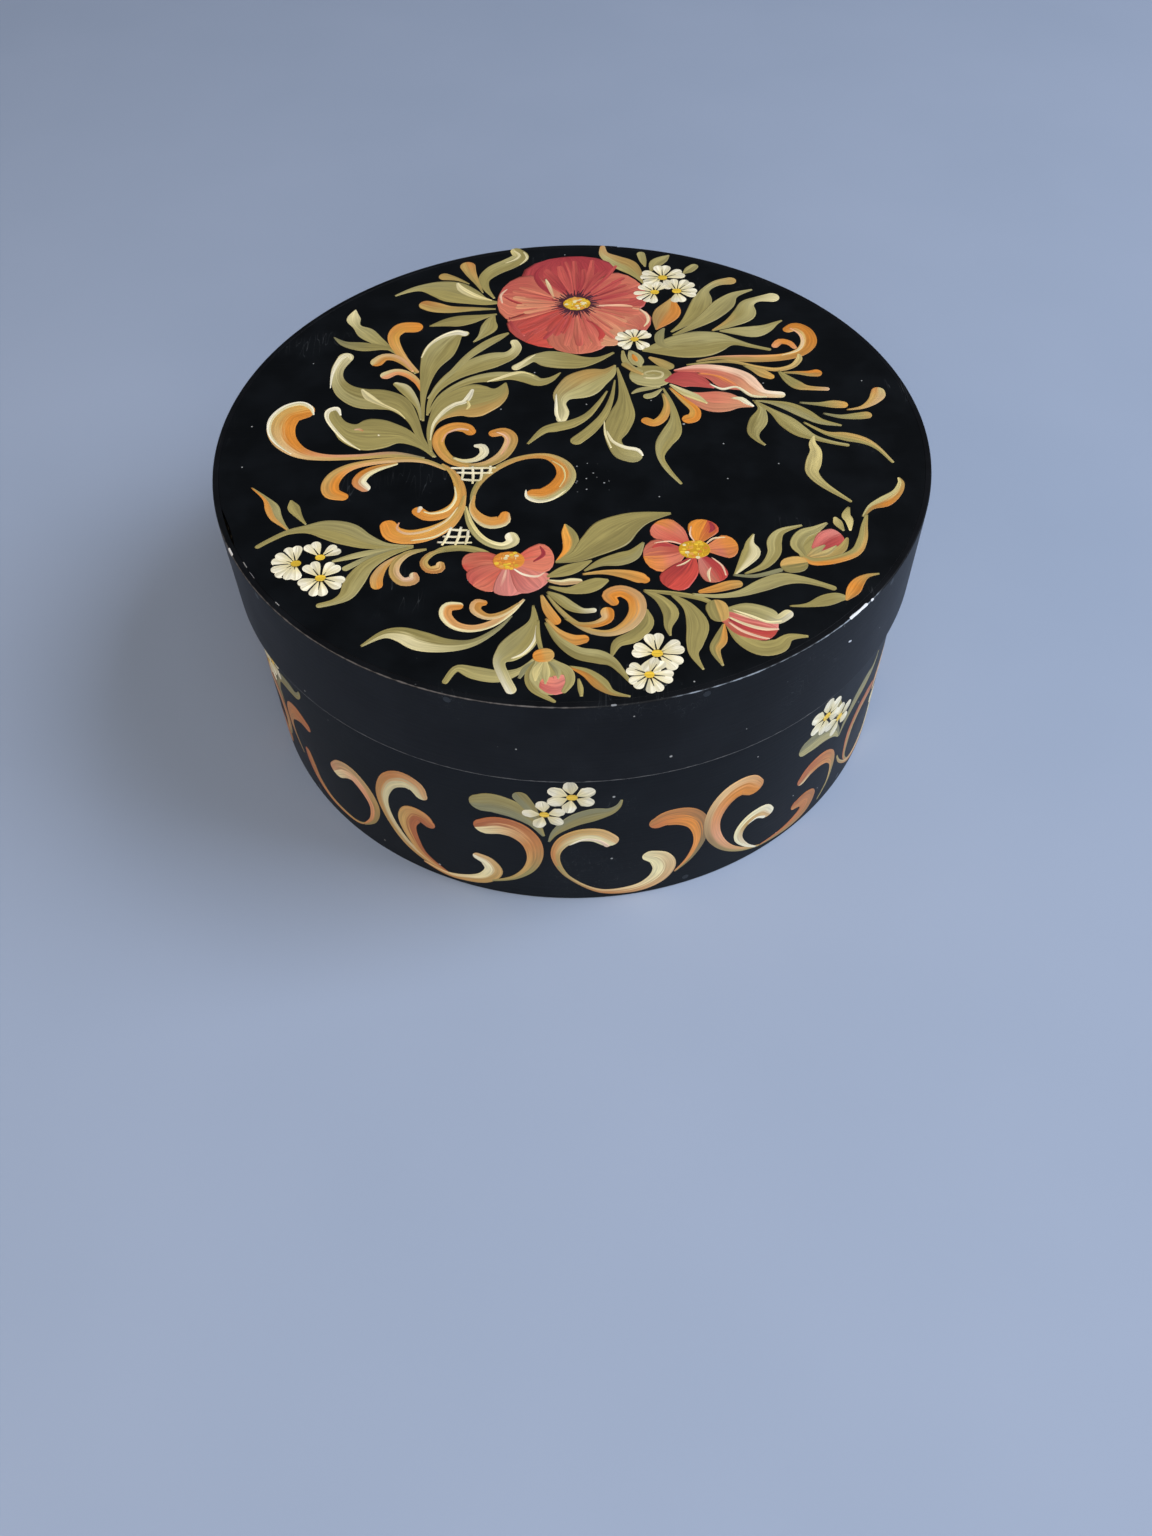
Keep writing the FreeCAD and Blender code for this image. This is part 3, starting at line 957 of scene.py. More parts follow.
# %% The lattices between them
bar_sag = 0.2
lattice = (
    (-34.5, -13.7, -34.7, -20), (-31.5, -13.5, -31.2, -22), (-28.5, -14, -28.8, -20.5),
    (-25.8, -13.5, -26.2, -17.5), (-38.5, -14.2, -24, -14.5), (-36.5, -16.5, -25, -17),
    (-35, -19.8, -29, -20.5), (-37.5, -43, -32, -43.5), (-39.5, -46, -31, -46.3),
    (-41, -48.5, -30.5, -49), (-37, -42, -39.5, -50), (-34, -42, -35.5, -50),
    (-31.8, -43.5, -32.5, -49.8))
for x, y, end_x, end_y in lattice:
    middle_x, middle_y = (x + end_x) / 2 + bar_sag, (y + end_y) / 2 - bar_sag
    lyre.append(("white>cream", [x, y, .7, middle_x, middle_y, .9, end_x, end_y, .6]))
paint_group("scrolls", on_lid, lyre)

# %% [markdown]
# ## The leaves at the back left
#
# Long leaves fan out from the lyre. A leaf is one stroke: a thin stem, a belly where the brush is
# pressed flat, and a tip that turns back the other way. The palest ones have cream on one edge.

# %% Leaves at the back left
paint_group("leaves_back_left", on_lid, [
    ("olive>olive>sage>cream", [-52.5, 36, .8, -57.5, 45, 1.2, -61.8, 50.2, 1.8, -67, 55.5, 4.5,
     -71.5, 60.5, 6.2, -75, 64.5, 3, -76.7, 69.5, 5, -76.4, 75.2, .2]),
    ("olive>olive>grey_olive", [-54, 39, .8, -59.3, 48.5, 1.2, -64.3, 51.4, 2.4, -71.8, 52.3, 5,
     -78.5, 54.3, 2.8, -82.7, 58.5, .3]),
    ("tan>orange|sand>amber>orange", [-52, 37, 1.2, -56.8, 44.5, 2.5, -60.5, 52.5, 3.7, -61.5, 58.5, 4.4,
     -59, 63, 6, -54.5, 63.3, 6]),
    ("tan>orange|peach>butter", [-53.5, 37, .8, -57, 42.5, 2.5, -60.5, 45.5, 3.4, -64, 45.8, 4,
     -66.2, 43.2, 4.8]),
    ("orange>peach|amber>cream", [-49.6, 25, .8, -51.5, 31, 2.2, -55, 35.5, 3, -59, 37.3, 3.4,
     -62.5, 35.5, 4.2]),
    ("olive>olive>sage>cream|olive>olive>olive>cream", [-43.5, -8.7, .8, -48.5, .5, 2.2, -52, 11, 4,
     -57, 19, 8, -63, 22, 10.5, -69.5, 23, 10.5, -75.5, 27, 7.5, -78.8, 33, 4.6, -79.4, 39.5, 4.4,
     -77.3, 46, 5.6]),
    ("cream>butter", [-70, 27.5, 1, -67.5, 23.5, 3, -63, 19.5, 1.6, -57.5, 15.5, 1, -54.5, 11.5, .3]),
    ("white>cream", [-80.9, 29, .3, -81, 37, 1.1, -79.5, 44.5, 1.8, -76.9, 47.6, 2, -75.3, 45, .6]),
    ("olive|sage>cream", [-49.3, 10.5, .6, -50.5, 17, 1.6, -53, 23, 3.2, -56, 28, 4.2, -58.7, 30.3, 2.2]),
    ("olive", [-44, -8.5, .8, -48.5, -2.8, 2.4, -54.5, 2.2, 7.5, -61, 3.4, 14.5, -67, 3.8, 16, -72, 5, 10.5,
     -75.3, 8.3, 5.4, -77.6, 12.3, 4.2, -78.8, 16, 4.8]),
    ("blush>copper", [-70.8, 6.2, .5, -69.2, 6.4, 1, -67.8, 5.4, .6]),
    ("white", [-62.8, 3.4, .5, -62.4, 2.8, .5]),
    ("cream>white", [-68, -4.2, .3, -73, .4, 1.1, -77, 6, 1.2, -80.2, 12, 1.3, -80.4, 16.2, 1.8,
     -77.6, 17.6, 1.8, -76, 14, .5]),
    ("olive>olive>sage>cream|olive>olive>olive>cream", [-47.3, 13, .8, -46.8, 20, 1.6, -44.5, 27.5, 3,
     -39.5, 34.5, 5.5, -33, 39.5, 8, -26.5, 42.8, 8.6, -20.8, 45.2, 5.2, -18.2, 49.5, 3.6, -19, 53, 3]),
    ("sage>olive", [-47.6, 22, .6, -44, 30, 1.2, -39.5, 37.5, 2, -35, 45, 2.8, -29.5, 51.5, 3.6,
     -24.5, 56, 3, -21.5, 58.3, 1.2]),
    ("olive>olive>sage>cream|olive", [-48.5, 10, .8, -49.2, 22, 1.8, -48.8, 32, 4, -47.8, 40, 7,
     -45.4, 47.5, 11, -42.3, 54, 9, -39, 58.3, 4.4, -36.5, 58.8, 3]),
    ("cream>white", [-51, 45, .4, -48.8, 52, 1.2, -44.5, 57.2, 1.8, -39.5, 59.6, 2.8, -36.6, 58.6, 2.4]),
    ("olive|olive>tan>tan>olive", [-45, -6, .8, -46, 3, 2, -44.5, 11, 4.5, -39.5, 17.5, 13, -32.5, 20.5, 18,
     -26.5, 22.5, 13, -23.2, 25, 6, -21.6, 29.8, .5], dict(split=-.45)),
    ("cream>white", [-45.6, 0, .3, -45, 8, 1, -42, 14.5, 1.7, -38.5, 18.3, 1.9, -35.5, 19.6, 2,
     -34, 22, 2.2, -32.8, 26, 1.2]),
    ("butter", [-34.4, 20.4, .8, -33.6, 17.6, 1, -34.4, 15.6, .4]),
    ("olive>sage>olive|olive", [-47, 14, .6, -44, 22, 1.4, -39.5, 27.5, 2.2, -33, 31.7, 3.6, -26, 33.2, 5.2,
     -20.3, 33.6, 4.2, -15, 32.6, 5.6, -10.5, 29.8, 4.4, -6.5, 31, 2.6, -3, 34.8, .4]),
    ("cream>butter", [-28, 30.5, .4, -24, 32.3, 1.3, -19, 34.8, 1.6, -15.5, 35.3, 1, -12, 33, .3]),
])

# %% [markdown]
# ## The poppy and what grows round it
#
# The big flower sits off the centre at the back. Each petal is a wide fan of paint from the heart
# outwards, crimson behind and salmon in front, and creases are drawn into the wet paint. Dark stamens
# stand round a yellow heart that is dabbed on last.

# %% Leaves round the poppy
paint_group("leaves_round_poppy", on_lid, [
    ("olive>olive>sage>butter|olive", [-26.6, 80.3, .8, -29.8, 87, 2.6, -30.6, 93, 4.6, -27, 98.8, 6.6,
     -21.5, 103, 7, -17.4, 107.3, 6.4, -19, 111.3, 4.5]),
    ("cream", [-23, 103.4, .3, -19.2, 105.8, .9, -17.8, 109, .9, -20.3, 112, .4]),
    ("cream", [-17.5, 102, .3, -14.9, 106.5, 1, -16.3, 111, .6]),
    ("olive>tan|olive>tan>copper", [-30.8, 84, .5, -33, 90, 1.8, -35.5, 96.5, 4, -37, 101.8, 5.8]),
    ("olive>tan", [-36, 90, .5, -40.5, 93.3, 2, -45.3, 95.2, 4.4]),
    ("olive>olive>olive>sage|olive>sage", [-25, 77.5, 1.4, -30, 78.4, 4.4, -36, 82, 10, -42, 85.2, 13,
     -48, 87.4, 9.5, -53.5, 88, 4.2, -58, 86.4, 2.2, -62.8, 83.3, .8]),
    ("cream>butter", [-40.5, 91, .8, -38.6, 86.5, 3, -33.5, 82, 2.6, -27.5, 79, .6]),
    ("olive>tan|olive>tan>copper", [-26, 73.6, .8, -34, 73.9, 2.4, -42, 73.9, 4.2, -47.5, 75.4, 6,
     -51, 77, 5.6]),
    ("olive", [-25.5, 70.4, .8, -30, 69, 2.6, -34.5, 67.6, 5.2, -39, 66.6, 6.4, -43.5, 65.8, 4.6,
     -49.3, 63.8, .5]),
    ("olive|olive>sage", [-26.3, 69.8, .6, -27.6, 66, 4, -28.2, 61.8, 6, -30.8, 56.8, 2.4,
     -33.3, 53.6, .6]),
    ("olive>olive>sage>copper|olive>tan>sand", [28.5, 87, 1, 26, 93.5, 4, 22.5, 99.5, 8, 17.8, 103.5, 7,
     14, 108, 3.8, 13.6, 113, 2]),
    ("olive>sage", [29, 99, .6, 28.4, 103, 2.6, 27.8, 107.5, 3.2]),
    ("olive>sage", [31, 96, 1, 33, 101, 5, 36, 104, 4, 38, 106, 1]),
    ("olive>sage", [43, 94, 1, 45, 96, 3.6, 47, 98.3, 3.4]),
    ("olive>olive>sage>tan", [36, 57, .8, 41, 62, 3.4, 46, 69, 7.6, 48.5, 76.5, 7, 50, 82.5, 3.2,
     54.5, 87, 3.4, 59.5, 88.3, 4.6]),
    ("olive>sage|olive>sage", [36.5, 55, .8, 43, 59.5, 3, 50, 66, 6.5, 56, 73.5, 7.5, 60, 79, 3.6,
     67, 82.3, .8]),
    ("tan>olive>sage>cream|olive>sage>cream", [50.5, 57.3, .8, 57, 61.5, 4.6, 62.5, 66.8, 8.2,
     64.2, 73, 5.4, 68, 76, 3.2, 73.5, 77, 5.6]),
    ("olive>sage>olive", [53.5, 57, 1, 59, 56.7, 4.4, 65, 56.2, 6.6, 69.5, 58, 4.6, 73, 60.8, 2,
     75.6, 62.6, .6]),
    ("olive>sage>olive|olive", [26, 46.5, 1.5, 32, 47.5, 8, 38.5, 48.5, 13.5, 46, 49.6, 15, 52.5, 50.6, 11,
     57.5, 50.3, 4, 63, 47.8, 2, 69.2, 45.4, 1.4]),
    ("clay>tan|copper>orange", [31, 59, 1, 33.5, 65, 8, 36, 70.5, 9, 37.5, 77, 2]),
    ("grey_olive>olive", [33.5, 59, 1, 31.8, 55, 3.4, 32, 50, 2.6, 36, 47, 1]),
    ("olive>peach>amber>butter>orange|olive>tan>orange>orange", [44, 39.5, 1, 51, 41.2, 1.8, 58, 40.7, 3.6,
     66, 40.3, 4, 74, 41, 3.8, 80, 43.7, 4.4, 83.3, 49, 5.6, 83, 55, 5.6, 80, 58.4, 5,
     77, 57, 3.6], dict(split=.4)),
    ("cream>peach", [73, 41.8, .3, 79, 44.6, 1, 81.3, 49.5, 1.2, 80.6, 54.5, 1, 77.6, 58, .5]),
    ("peach>orange>peach", [71.5, 47.6, 2.6, 73.5, 50, 3, 76.5, 49, 2.6, 78, 46.3, 1.8]),
    ("olive>tan>butter", [40, 37.5, .8, 50, 39, 1.3, 57, 38.4, 1.4, 64, 35.4, 1.8, 70.5, 33.8, 2,
     76, 35.6, 2.2, 78.8, 39.5, 2.2, 79, 42, 1]),
    ("olive>orange>orange|olive>tan>orange", [72, 32, .8, 77, 31.8, 1.6, 81, 31.2, 3, 83.6, 31.4, 4]),
    ("olive>tan>amber", [59.5, 36.5, .8, 62.5, 34.5, 2.4, 65.5, 31.8, 4, 67.8, 30, 3]),
    ("olive>olive>tan>blush", [71, 33, .8, 73.5, 28.5, 3.4, 76.5, 24.8, 4.4, 80, 23.2, 2.4, 86, 22.4, 1.8]),
    ("grey_olive>olive>tan>amber", [76, 15.4, .8, 82, 14.4, 1.8, 87, 14.2, 4, 90, 13.8, 3.6]),
    ("grey_olive>olive>tan", [83, 9.4, .8, 88.5, 7.5, 2, 94, 7.6, 3.4, 97, 8, 3.6]),
    ("tan>tan>copper|tan>sand>butter", [91, 11, .6, 96, 12, 1.6, 100, 15, 3.4, 102.3, 18.3, 5,
     102.8, 20.4, 4.6]),
])

# %% The poppy
poppy_middle = poppy_x, poppy_y = 3.0, 75.5
poppy = [
    ("rose>rose>crimson|rose>crimson", [3, 77, 7, 1.5, 88, 26, .5, 96, 35], dict(blunt=.62)),
    ("rose>rose>salmon|salmon>rose>rose", [5, 76, 6, 12.5, 80, 18, 20, 83, 26], dict(blunt=.6)),
    ("salmon|peach>salmon>rose", [0, 76, 6, -8, 78.5, 20, -16, 80, 30], dict(blunt=.62)),
    ("salmon>red|rose>red>rose", [1, 73, 6, -5, 66, 19, -10, 59.5, 27], dict(blunt=.62)),
    ("red>salmon|rose>salmon", [3, 72, 6, 3.5, 64, 17, 3.5, 55, 23], dict(blunt=.85)),
    ("salmon>peach>rose|rose>peach", [6, 73, 6, 12.5, 66.5, 19, 18, 60.5, 27], dict(blunt=.65)),
]

# %% Streaks, creases and stamens
def spoke(x, y, *stops):
    """The numbers of a stroke that leaves the middle x, y. Each stop is a direction in degrees, a
    distance from the middle and a width."""
    numbers = []
    for degrees, reach, width in stops:
        angle = math.radians(degrees)
        numbers += [x + reach * math.cos(angle), y + reach * math.sin(angle), width]
    return numbers


streak_pitch = 4.6
petal_streaks = (
    (56, 128, 29, "crimson>rose rose>crimson rose"),
    (2, 50, 26, "rose>salmon crimson>rose rose"),
    (148, 206, 26, "salmon salmon>peach rose>salmon"),
    (208, 258, 26, "red>rose rose>crimson rose>red"),
    (262, 292, 27, "salmon>rose rose>salmon rose"),
    (296, 352, 26, "salmon>peach rose>salmon salmon"))
rng = random.Random(8)
for first, last, reach, rows in petal_streaks:
    count = int((last - first) / streak_pitch)
    for k in range(count):
        angle = first + (last - first) * (k + rng.random()) / count
        end = reach * rng.uniform(0.68, 0.99)
        middle_turn, end_turn = rng.uniform(-1.5, 1.5), rng.uniform(-2, 2)
        width = rng.uniform(1.2, 3.4)
        numbers = spoke(*poppy_middle, (angle, 7, .3), (angle + middle_turn, end * 0.7, width),
                        (angle + end_turn, end, width * 0.8))
        poppy.append((rng.choice(rows.split()), numbers, dict(mark=False)))
poppy += [
    ("crimson", [-9, 101, .5, -11.5, 95, 1.6, -9.5, 88, 2.4, -5.5, 81, .6]),
    ("cream>peach", [-8, 92, .5, -6.8, 87.5, 1.5, -5.8, 83, 1.2, -4.8, 79, .4]),
    ("crimson>red", [-23, 81, .5, -19, 77.5, 1.1, -12, 73.5, 1.3, -5, 72, .4]),
    ("crimson>red", [5.5, 66, .5, 9.5, 62, 2, 11.6, 57, 3, 10, 51.5, .8]),
    ("blush>peach", [10, 74, .5, 15, 73.8, 1.6, 21, 73.3, 2, 26, 71, .8]),
    ("blush>cream", [25.5, 71.5, .5, 28, 67.5, 1.2, 28.2, 63.5, 1, 26.6, 60.5, .3]),
    ("blush", [-22, 86, .4, -24.3, 82, 1, -23.6, 77, .5]),
    ("crimson>rose", [-21, 68, .4, -19.5, 62, 1.6, -15.5, 56.5, .6]),
    ("maroon", [2.6, 75.5, 10, 3.4, 75.5, 10]),
]
stamens = 46
for k in range(stamens):
    angle = 360 * k / stamens + 3 * math.sin(5.0 * k)
    tip = 8.2 + 1.4 * math.sin(3.7 * k)
    numbers = spoke(*poppy_middle, (angle, 4.2, .8), (angle + 2, 6, .6), (angle, tip, .2))
    poppy.append(("maroon", numbers, dict(mark=False)))
paint_group("poppy", on_lid, poppy)


# %% Hearts and dots
golden_turn = 2.4


def disc(x, y, radius, colour, **options):
    """A round dab of paint: the brush set down and lifted, hardly moved."""
    length = 0.25 * radius
    return (colour, [x - length, y, 2 * radius, x + length, y, 2 * radius], options)


def heart(x, y, radius, rng, dots, ground="ochre"):
    """A flower's heart: a disc of the ground colour, set all over with dots of yellow and cream."""
    filled = radius * 0.92
    strokes = [disc(x, y, filled, ground)]
    for k in range(dots):
        angle = k * golden_turn
        reach = filled * (0.12 + 0.88 * (k + 0.5) / dots) ** 0.6
        spot_x, spot_y = x + reach * math.cos(angle), y + reach * math.sin(angle)
        size = rng.uniform(0.09, 0.15) * radius
        colour = rng.choice(["yellow", "cream", "yellow", "amber", "orange"])
        strokes.append(disc(spot_x, spot_y, size, colour, mark=False))
    return strokes


rng = random.Random(31)
paint_group("poppy_heart", on_lid, heart(poppy_x + .2, poppy_y, 4.3, rng, 44))

# %% [markdown]
# ## The sprays in the middle and at the right
#
# From under the poppy hang long leaves, and to its right a tulip, a small knot of leaves and a spray
# of thin tendrils reach for the edge of the lid.

# %% Leaves under the poppy
paint_group("leaves_middle", on_lid, [
    ("olive>olive>sage>cream", [15.5, 45.5, .8, 10, 41.8, 2.6, 4, 40.5, 6.5, -2, 41.6, 9, -8, 42.8, 8.6,
     -12.5, 43, 4, -15.5, 40.5, 3, -18.3, 38.2, 3]),
    ("cream", [-11.6, 45.3, .3, -14.6, 42.2, 1.1, -18.2, 38.6, 1.8]),
    ("olive>sage>cream|olive>tan>sage>cream", [15.5, 38, 1, 13, 34, 6, 8, 31, 12, 3, 27, 14, -2, 22.5, 8,
     -3.2, 18, 3.8, -2.5, 13, 4.2, -3, 9.5, 3.6]),
    ("white>cream", [-4.6, 23, .3, -4.7, 17, 1, -4.6, 12, 1.2, -3.6, 8.6, .8]),
    ("olive", [12.5, 24, .6, 9.5, 17.5, 1.6, 5.5, 11, 2.6, .5, 7, 4, -5, 5.2, 4.4, -9, 3.5, 3,
     -14, -3, .8]),
    ("olive", [15.3, 30, .5, 13.8, 20, 1.6, 11, 11, 2.8, 6.5, 3.5, 4, 1.8, -1.8, 4.2]),
    ("olive>olive>olive>sage", [16.3, 37, .8, 17.5, 28, 2.2, 18, 19, 4.5, 17, 11, 8.6, 14.8, 3.5, 8.4,
     13.8, -2.5, 5, 16, -8.5, 5.6, 19.5, -10.2, 6.4]),
    ("cream>white", [11.6, 3, .5, 13.4, -2.6, 1.1, 17.2, -5.8, 1.5, 21.2, -7.2, 1.5, 22.8, -10.2, .6]),
    ("cream", [11, 8, .3, 11.2, 1, .7, 12.8, -6, .6]),
    ("olive|olive>sage", [31.3, 25, .6, 33.3, 17, 1.8, 34.2, 9, 3, 32.8, 1.5, 6.4, 29.8, -4.5, 5.4,
     28.5, -11, 2.4, 30.5, -17.5, 1.8, 34, -24, 1]),
    ("tan>orange|olive>amber>orange", [31, 22, .8, 32, 15.5, 2.2, 30.5, 9.5, 3.2, 27.5, 6.3, 3.4,
     24.8, 7.6, 3.4]),
    ("sage", [30.5, 25.5, .6, 26.5, 25, 2, 23, 24, 2, 20.6, 22.2, .6]),
    ("sage", [31, 24.5, .6, 28, 21.5, 2.4, 25.8, 20.6, 2.8]),
    ("olive|sage", [26, 32, 11.6, 28.8, 31.6, 12]),
    ("cream>sage", [25, 31, .6, 28, 30.4, 1, 31, 31, 1, 31.6, 33.4, .8, 28.6, 34.6, .8, 25.6, 33.6, .8,
     26.4, 32.2, .6, 29, 32.4, .5]),
    ("olive>sage", [18.6, 46, 1, 19, 41, 2.2, 21, 37, 2, 24.5, 34.5, 1]),
    ("sage", [21, 46.5, .8, 22.3, 43, 4.6, 23.5, 39.5, 4.6, 24, 38, 2]),
    ("orange", [21.9, 44.2, .5, 22.5, 42, 1.8, 23.2, 40, .9]),
    ("tan>olive", [28, 42, 1.5, 31, 39.5, 3.6, 34, 37, 3.8]),
    ("olive>tan", [19, 38.5, 2.4, 22, 35, 1.8, 25, 32.5, .8]),
    ("salmon>salmon>peach|salmon>peach", [37, 23, 1.5, 41.5, 19.5, 6, 47, 17.2, 11, 52.5, 16.5, 10,
     56.5, 15.6, 5, 60.5, 13.8, .6]),
    ("cream>white", [53.5, 18.6, .4, 56.6, 18.2, 2, 58.6, 16, 2, 60.7, 13.9, .5]),
    ("crimson>rose|rose", [33, 29, 2, 37.5, 29.8, 8.5, 42, 29, 8, 48.5, 24.3, .5]),
    ("salmon>orange>salmon|rose>salmon", [44, 32, 1, 49, 31, 6, 53.5, 27, 7.5, 57.5, 23, .6]),
    ("pink>blush>blush>white|rose>salmon>peach>cream", [36, 34.5, 1, 44, 35.3, 4.5, 52, 33.5, 6,
     58, 29.5, 7.5, 61, 24.5, 7, 64.5, 20.8, 4.2, 70.2, 19.8, 3.2]),
    ("white>cream", [47, 26.6, .4, 51, 23.6, 1, 56, 24.4, 1, 60.5, 19.6, 1.2, 65.5, 18.8, .6]),
    ("cream>sage|sage>butter", [34, 26.5, 1, 38, 22.5, 3, 42, 19.5, 3, 45.5, 16, .6]),
    ("orange|tan>amber>orange", [33.5, 25, .8, 37.5, 18.5, 2.2, 41, 13, 3.4, 40.5, 9, 4.4, 38.8, 8, 4.6]),
])

# %% Tendrils at the right
paint_group("tendrils_right", on_lid, [
    ("olive|sage", [60.5, 17, .6, 66, 16, 1.6, 72, 13.5, 4.4, 77, 9.5, 4.8, 81.5, 5.3, 3, 87.7, 3, 1]),
    ("sage>olive|olive", [61, 17, .8, 63, 12.5, 2.4, 61.5, 6.5, 6, 59.3, .8, 4.4, 60, -3.2, 2,
     62.3, -6.3, .8]),
    ("olive>sage|olive", [61, 16.8, .8, 66.5, 11, 2.4, 70.5, 5.5, 5.8, 74.5, .2, 5.4, 78.5, -3, 2.6,
     83.5, -5.5, 1.6, 88.5, -7.2, 1.4]),
    ("butter>olive", [78.4, -2, .4, 77.5, -6, 2.4, 78, -10, 3.8, 76.6, -15.5, 5, 75.6, -20.5, 4,
     78.6, -26.5, 2.6, 85.5, -34.2, 1]),
    ("olive>tan>sage|olive", [76, 5, .8, 82.5, -.8, 1.8, 88.5, -2.8, 4.2, 94, -5, 3.4, 98, -9, 1.8,
     101.5, -16, 1]),
    ("sage>butter|olive>orange>tan>olive", [88.3, -41.3, .8, 91.5, -37, 2.4, 96, -34.6, 4.6,
     100.3, -30.8, 3.2, 102.4, -26.5, 2.2, 102.2, -24, 1]),
    ("butter>olive", [83.5, -47.5, .6, 83.8, -43, 2.6, 83.2, -40.5, 2.8, 84.6, -36.8, .8]),
])

# %% [markdown]
# ## The garland along the front
#
# A garland runs from the left to the right along the front edge: leaves, a pink rose, an orange
# flower and three buds, tied together by thin stems and small scrolls.

# %% The garland's left end
paint_group("garland_left", on_lid, [
    ("tan>orange|olive>sage>olive", [-85.5, -43, .6, -88, -40, 1.4, -91.2, -35.6, 3.8, -93, -31.2, 4.4,
     -95.6, -26.8, 1.8, -100.6, -21.5, .5]),
    ("olive", [-81.5, -39.3, .5, -84, -35.6, 2, -86.2, -31.5, 3.8, -87.3, -28.4, 1]),
    ("olive|sage>olive", [-48, -50, .8, -56, -49.7, 2.6, -62.8, -47.4, 6.4, -69, -43.8, 9.6,
     -75.5, -41.6, 8, -81, -41.4, 3.8, -86.5, -42.6, 2.2, -91, -45.5, 1.8, -95, -48.8, 1.6]),
    ("sage", [-50, -50.3, .6, -58.5, -51.8, 1.8, -65, -53.6, 2.4, -71.5, -55.8, 1]),
    ("grey_olive>sage", [-50, -50.6, .6, -60, -54, 1.6, -67.5, -59, 2.2]),
    ("olive>sage|olive", [-48, -50.5, .6, -55, -53.2, 2.4, -61.2, -58.2, 4.6, -64.4, -64.5, 6.2,
     -66.2, -70, 4.6, -69.5, -72.8, 2.4, -73.8, -74.2, 1.8]),
    ("tan>orange|sand>amber", [-51.5, -53.5, .6, -56, -58, 2.4, -58, -63, 3.8, -57.8, -66.3, 3.6]),
    ("olive>sand>blush>cream|olive>tan>peach", [-44, -51.5, .8, -49.5, -53.2, 2.4, -52.6, -57, 3,
     -53, -61.5, 3.2, -50.5, -65, 3.4, -47.3, -64.6, 3.8, -47.2, -62.6, 2.6]),
    ("olive>tan>sand|olive>copper>tan", [-38.5, -51.8, .8, -42.5, -53.6, 2, -44.6, -57, 2.4,
     -43, -60.2, 2.8, -40, -60, 3.6, -39.6, -58.3, 2.6]),
    ("grey_olive>sage>cream>sage|grey_olive>olive>olive", [-18, -80, .5, -22.5, -85.5, 1.6, -29, -90.2, 2.8,
     -36, -91, 5, -43.5, -89.2, 7.4, -49.5, -86.3, 5.6, -54.5, -86.3, 3, -60.3, -90.6, .8]),
    ("cream|sand>orange", [-14.6, -73.5, .8, -18.5, -78.5, 2, -23.5, -82.8, 2.6, -29, -84.7, 2.8,
     -34, -83.4, 3.2, -37, -79.5, 3.6, -36.6, -76, 3.8, -33.6, -75.6, 3], dict(split=.45)),
    ("cream>sand>orange|tan>orange", [-16, -75, .8, -20.5, -79, 2, -25, -80.2, 2.4, -28.4, -77.6, 3.2,
     -28.2, -74.8, 3.6, -26.3, -74.6, 2.2], dict(split=.3)),
])

# %% The rose
rng = random.Random(12)
paint_group("rose", on_lid, [
    ("salmon>salmon>red|red>salmon", [-22, -57.5, 4, -26, -57.2, 8, -30, -58, 9], dict(blunt=.7)),
    ("red>salmon|salmon>rose", [-20.5, -60, 4, -24.5, -63, 10, -26.8, -65.2, 12], dict(blunt=.6)),
    ("pink|pink", [-19.3, -60, 3, -19, -65, 8, -18.8, -69.2, 10], dict(blunt=.55)),
    ("salmon>pink|rose>pink", [-18, -60, 3, -14.6, -63.6, 9, -12, -66.8, 11.5], dict(blunt=.55)),
    ("red>salmon|salmon", [-16.5, -57.5, 4, -12.5, -56.8, 10, -9.6, -56.4, 12.5], dict(blunt=.6)),
    ("white>blush", [-18, -60.6, .4, -15, -63.3, .8, -11, -64.3, .8, -8.6, -62.6, .3]),
    ("blush>pink", [-20, -61, .3, -20.6, -64.6, 1, -21.6, -68.5, .4]),
    ("crimson", [-10, -51.5, .4, -9, -55, 1.4, -12, -58, .5]),
    *heart(-19.3, -57.3, 4.1, rng, 26, "orange"),
])

# %% The orange flower
orange_petals = [
    ("red>salmon|red>salmon>orange", [33.5, -51, 3, 30.5, -47.5, 8, 27.4, -44.9, 10]),
    ("salmon>salmon>orange|red>salmon", [32.5, -55, 4, 28.5, -56, 12, 26, -56.3, 14.4]),
    ("red|crimson>red", [35, -58.5, 3, 33, -62.5, 8, 29.4, -67, 10]),
    ("crimson>red|pink>salmon", [38, -58, 3, 40, -62, 7.5, 41.3, -65.2, 8]),
    ("salmon>orange|orange>salmon>orange", [40, -54, 3, 43.5, -53.5, 8, 45.3, -53.2, 10.2]),
    ("orange|orange>red", [37.5, -50.5, 3, 38.5, -47, 8, 39.4, -44.7, 9.6]),
]
paint_group("orange_flower", on_lid, [
    *[(*petal, dict(blunt=.75)) for petal in orange_petals],
    ("red>crimson", [23.5, -53, .5, 26, -51.8, 1.6, 30, -52.6, .6]),
    ("crimson", [41, -47, .4, 42.2, -45, 1.6, 41.6, -42.4, .5]),
    ("blush>cream", [30.2, -61.2, .3, 32.5, -60.2, .7, 34.6, -58.4, .3]),
    ("blush", [33.4, -52.4, .3, 29, -50.4, .6, 24.2, -51, .3]),
    ("blush>cream", [39.6, -52, .3, 42, -49.6, .7, 45.6, -49.2, .3]),
    ("blush", [40.8, -57.8, .3, 43.6, -61.4, .6, 44.4, -65.6, .4]),
    ("blush", [36.2, -50.4, .3, 35.2, -47.6, .6, 35.8, -43.8, .3]),
    ("blush>cream", [40.3, -62, .3, 39.3, -64.5, .9, 39.6, -68, .3]),
    *heart(36, -54.2, 4.1, rng, 26),
])

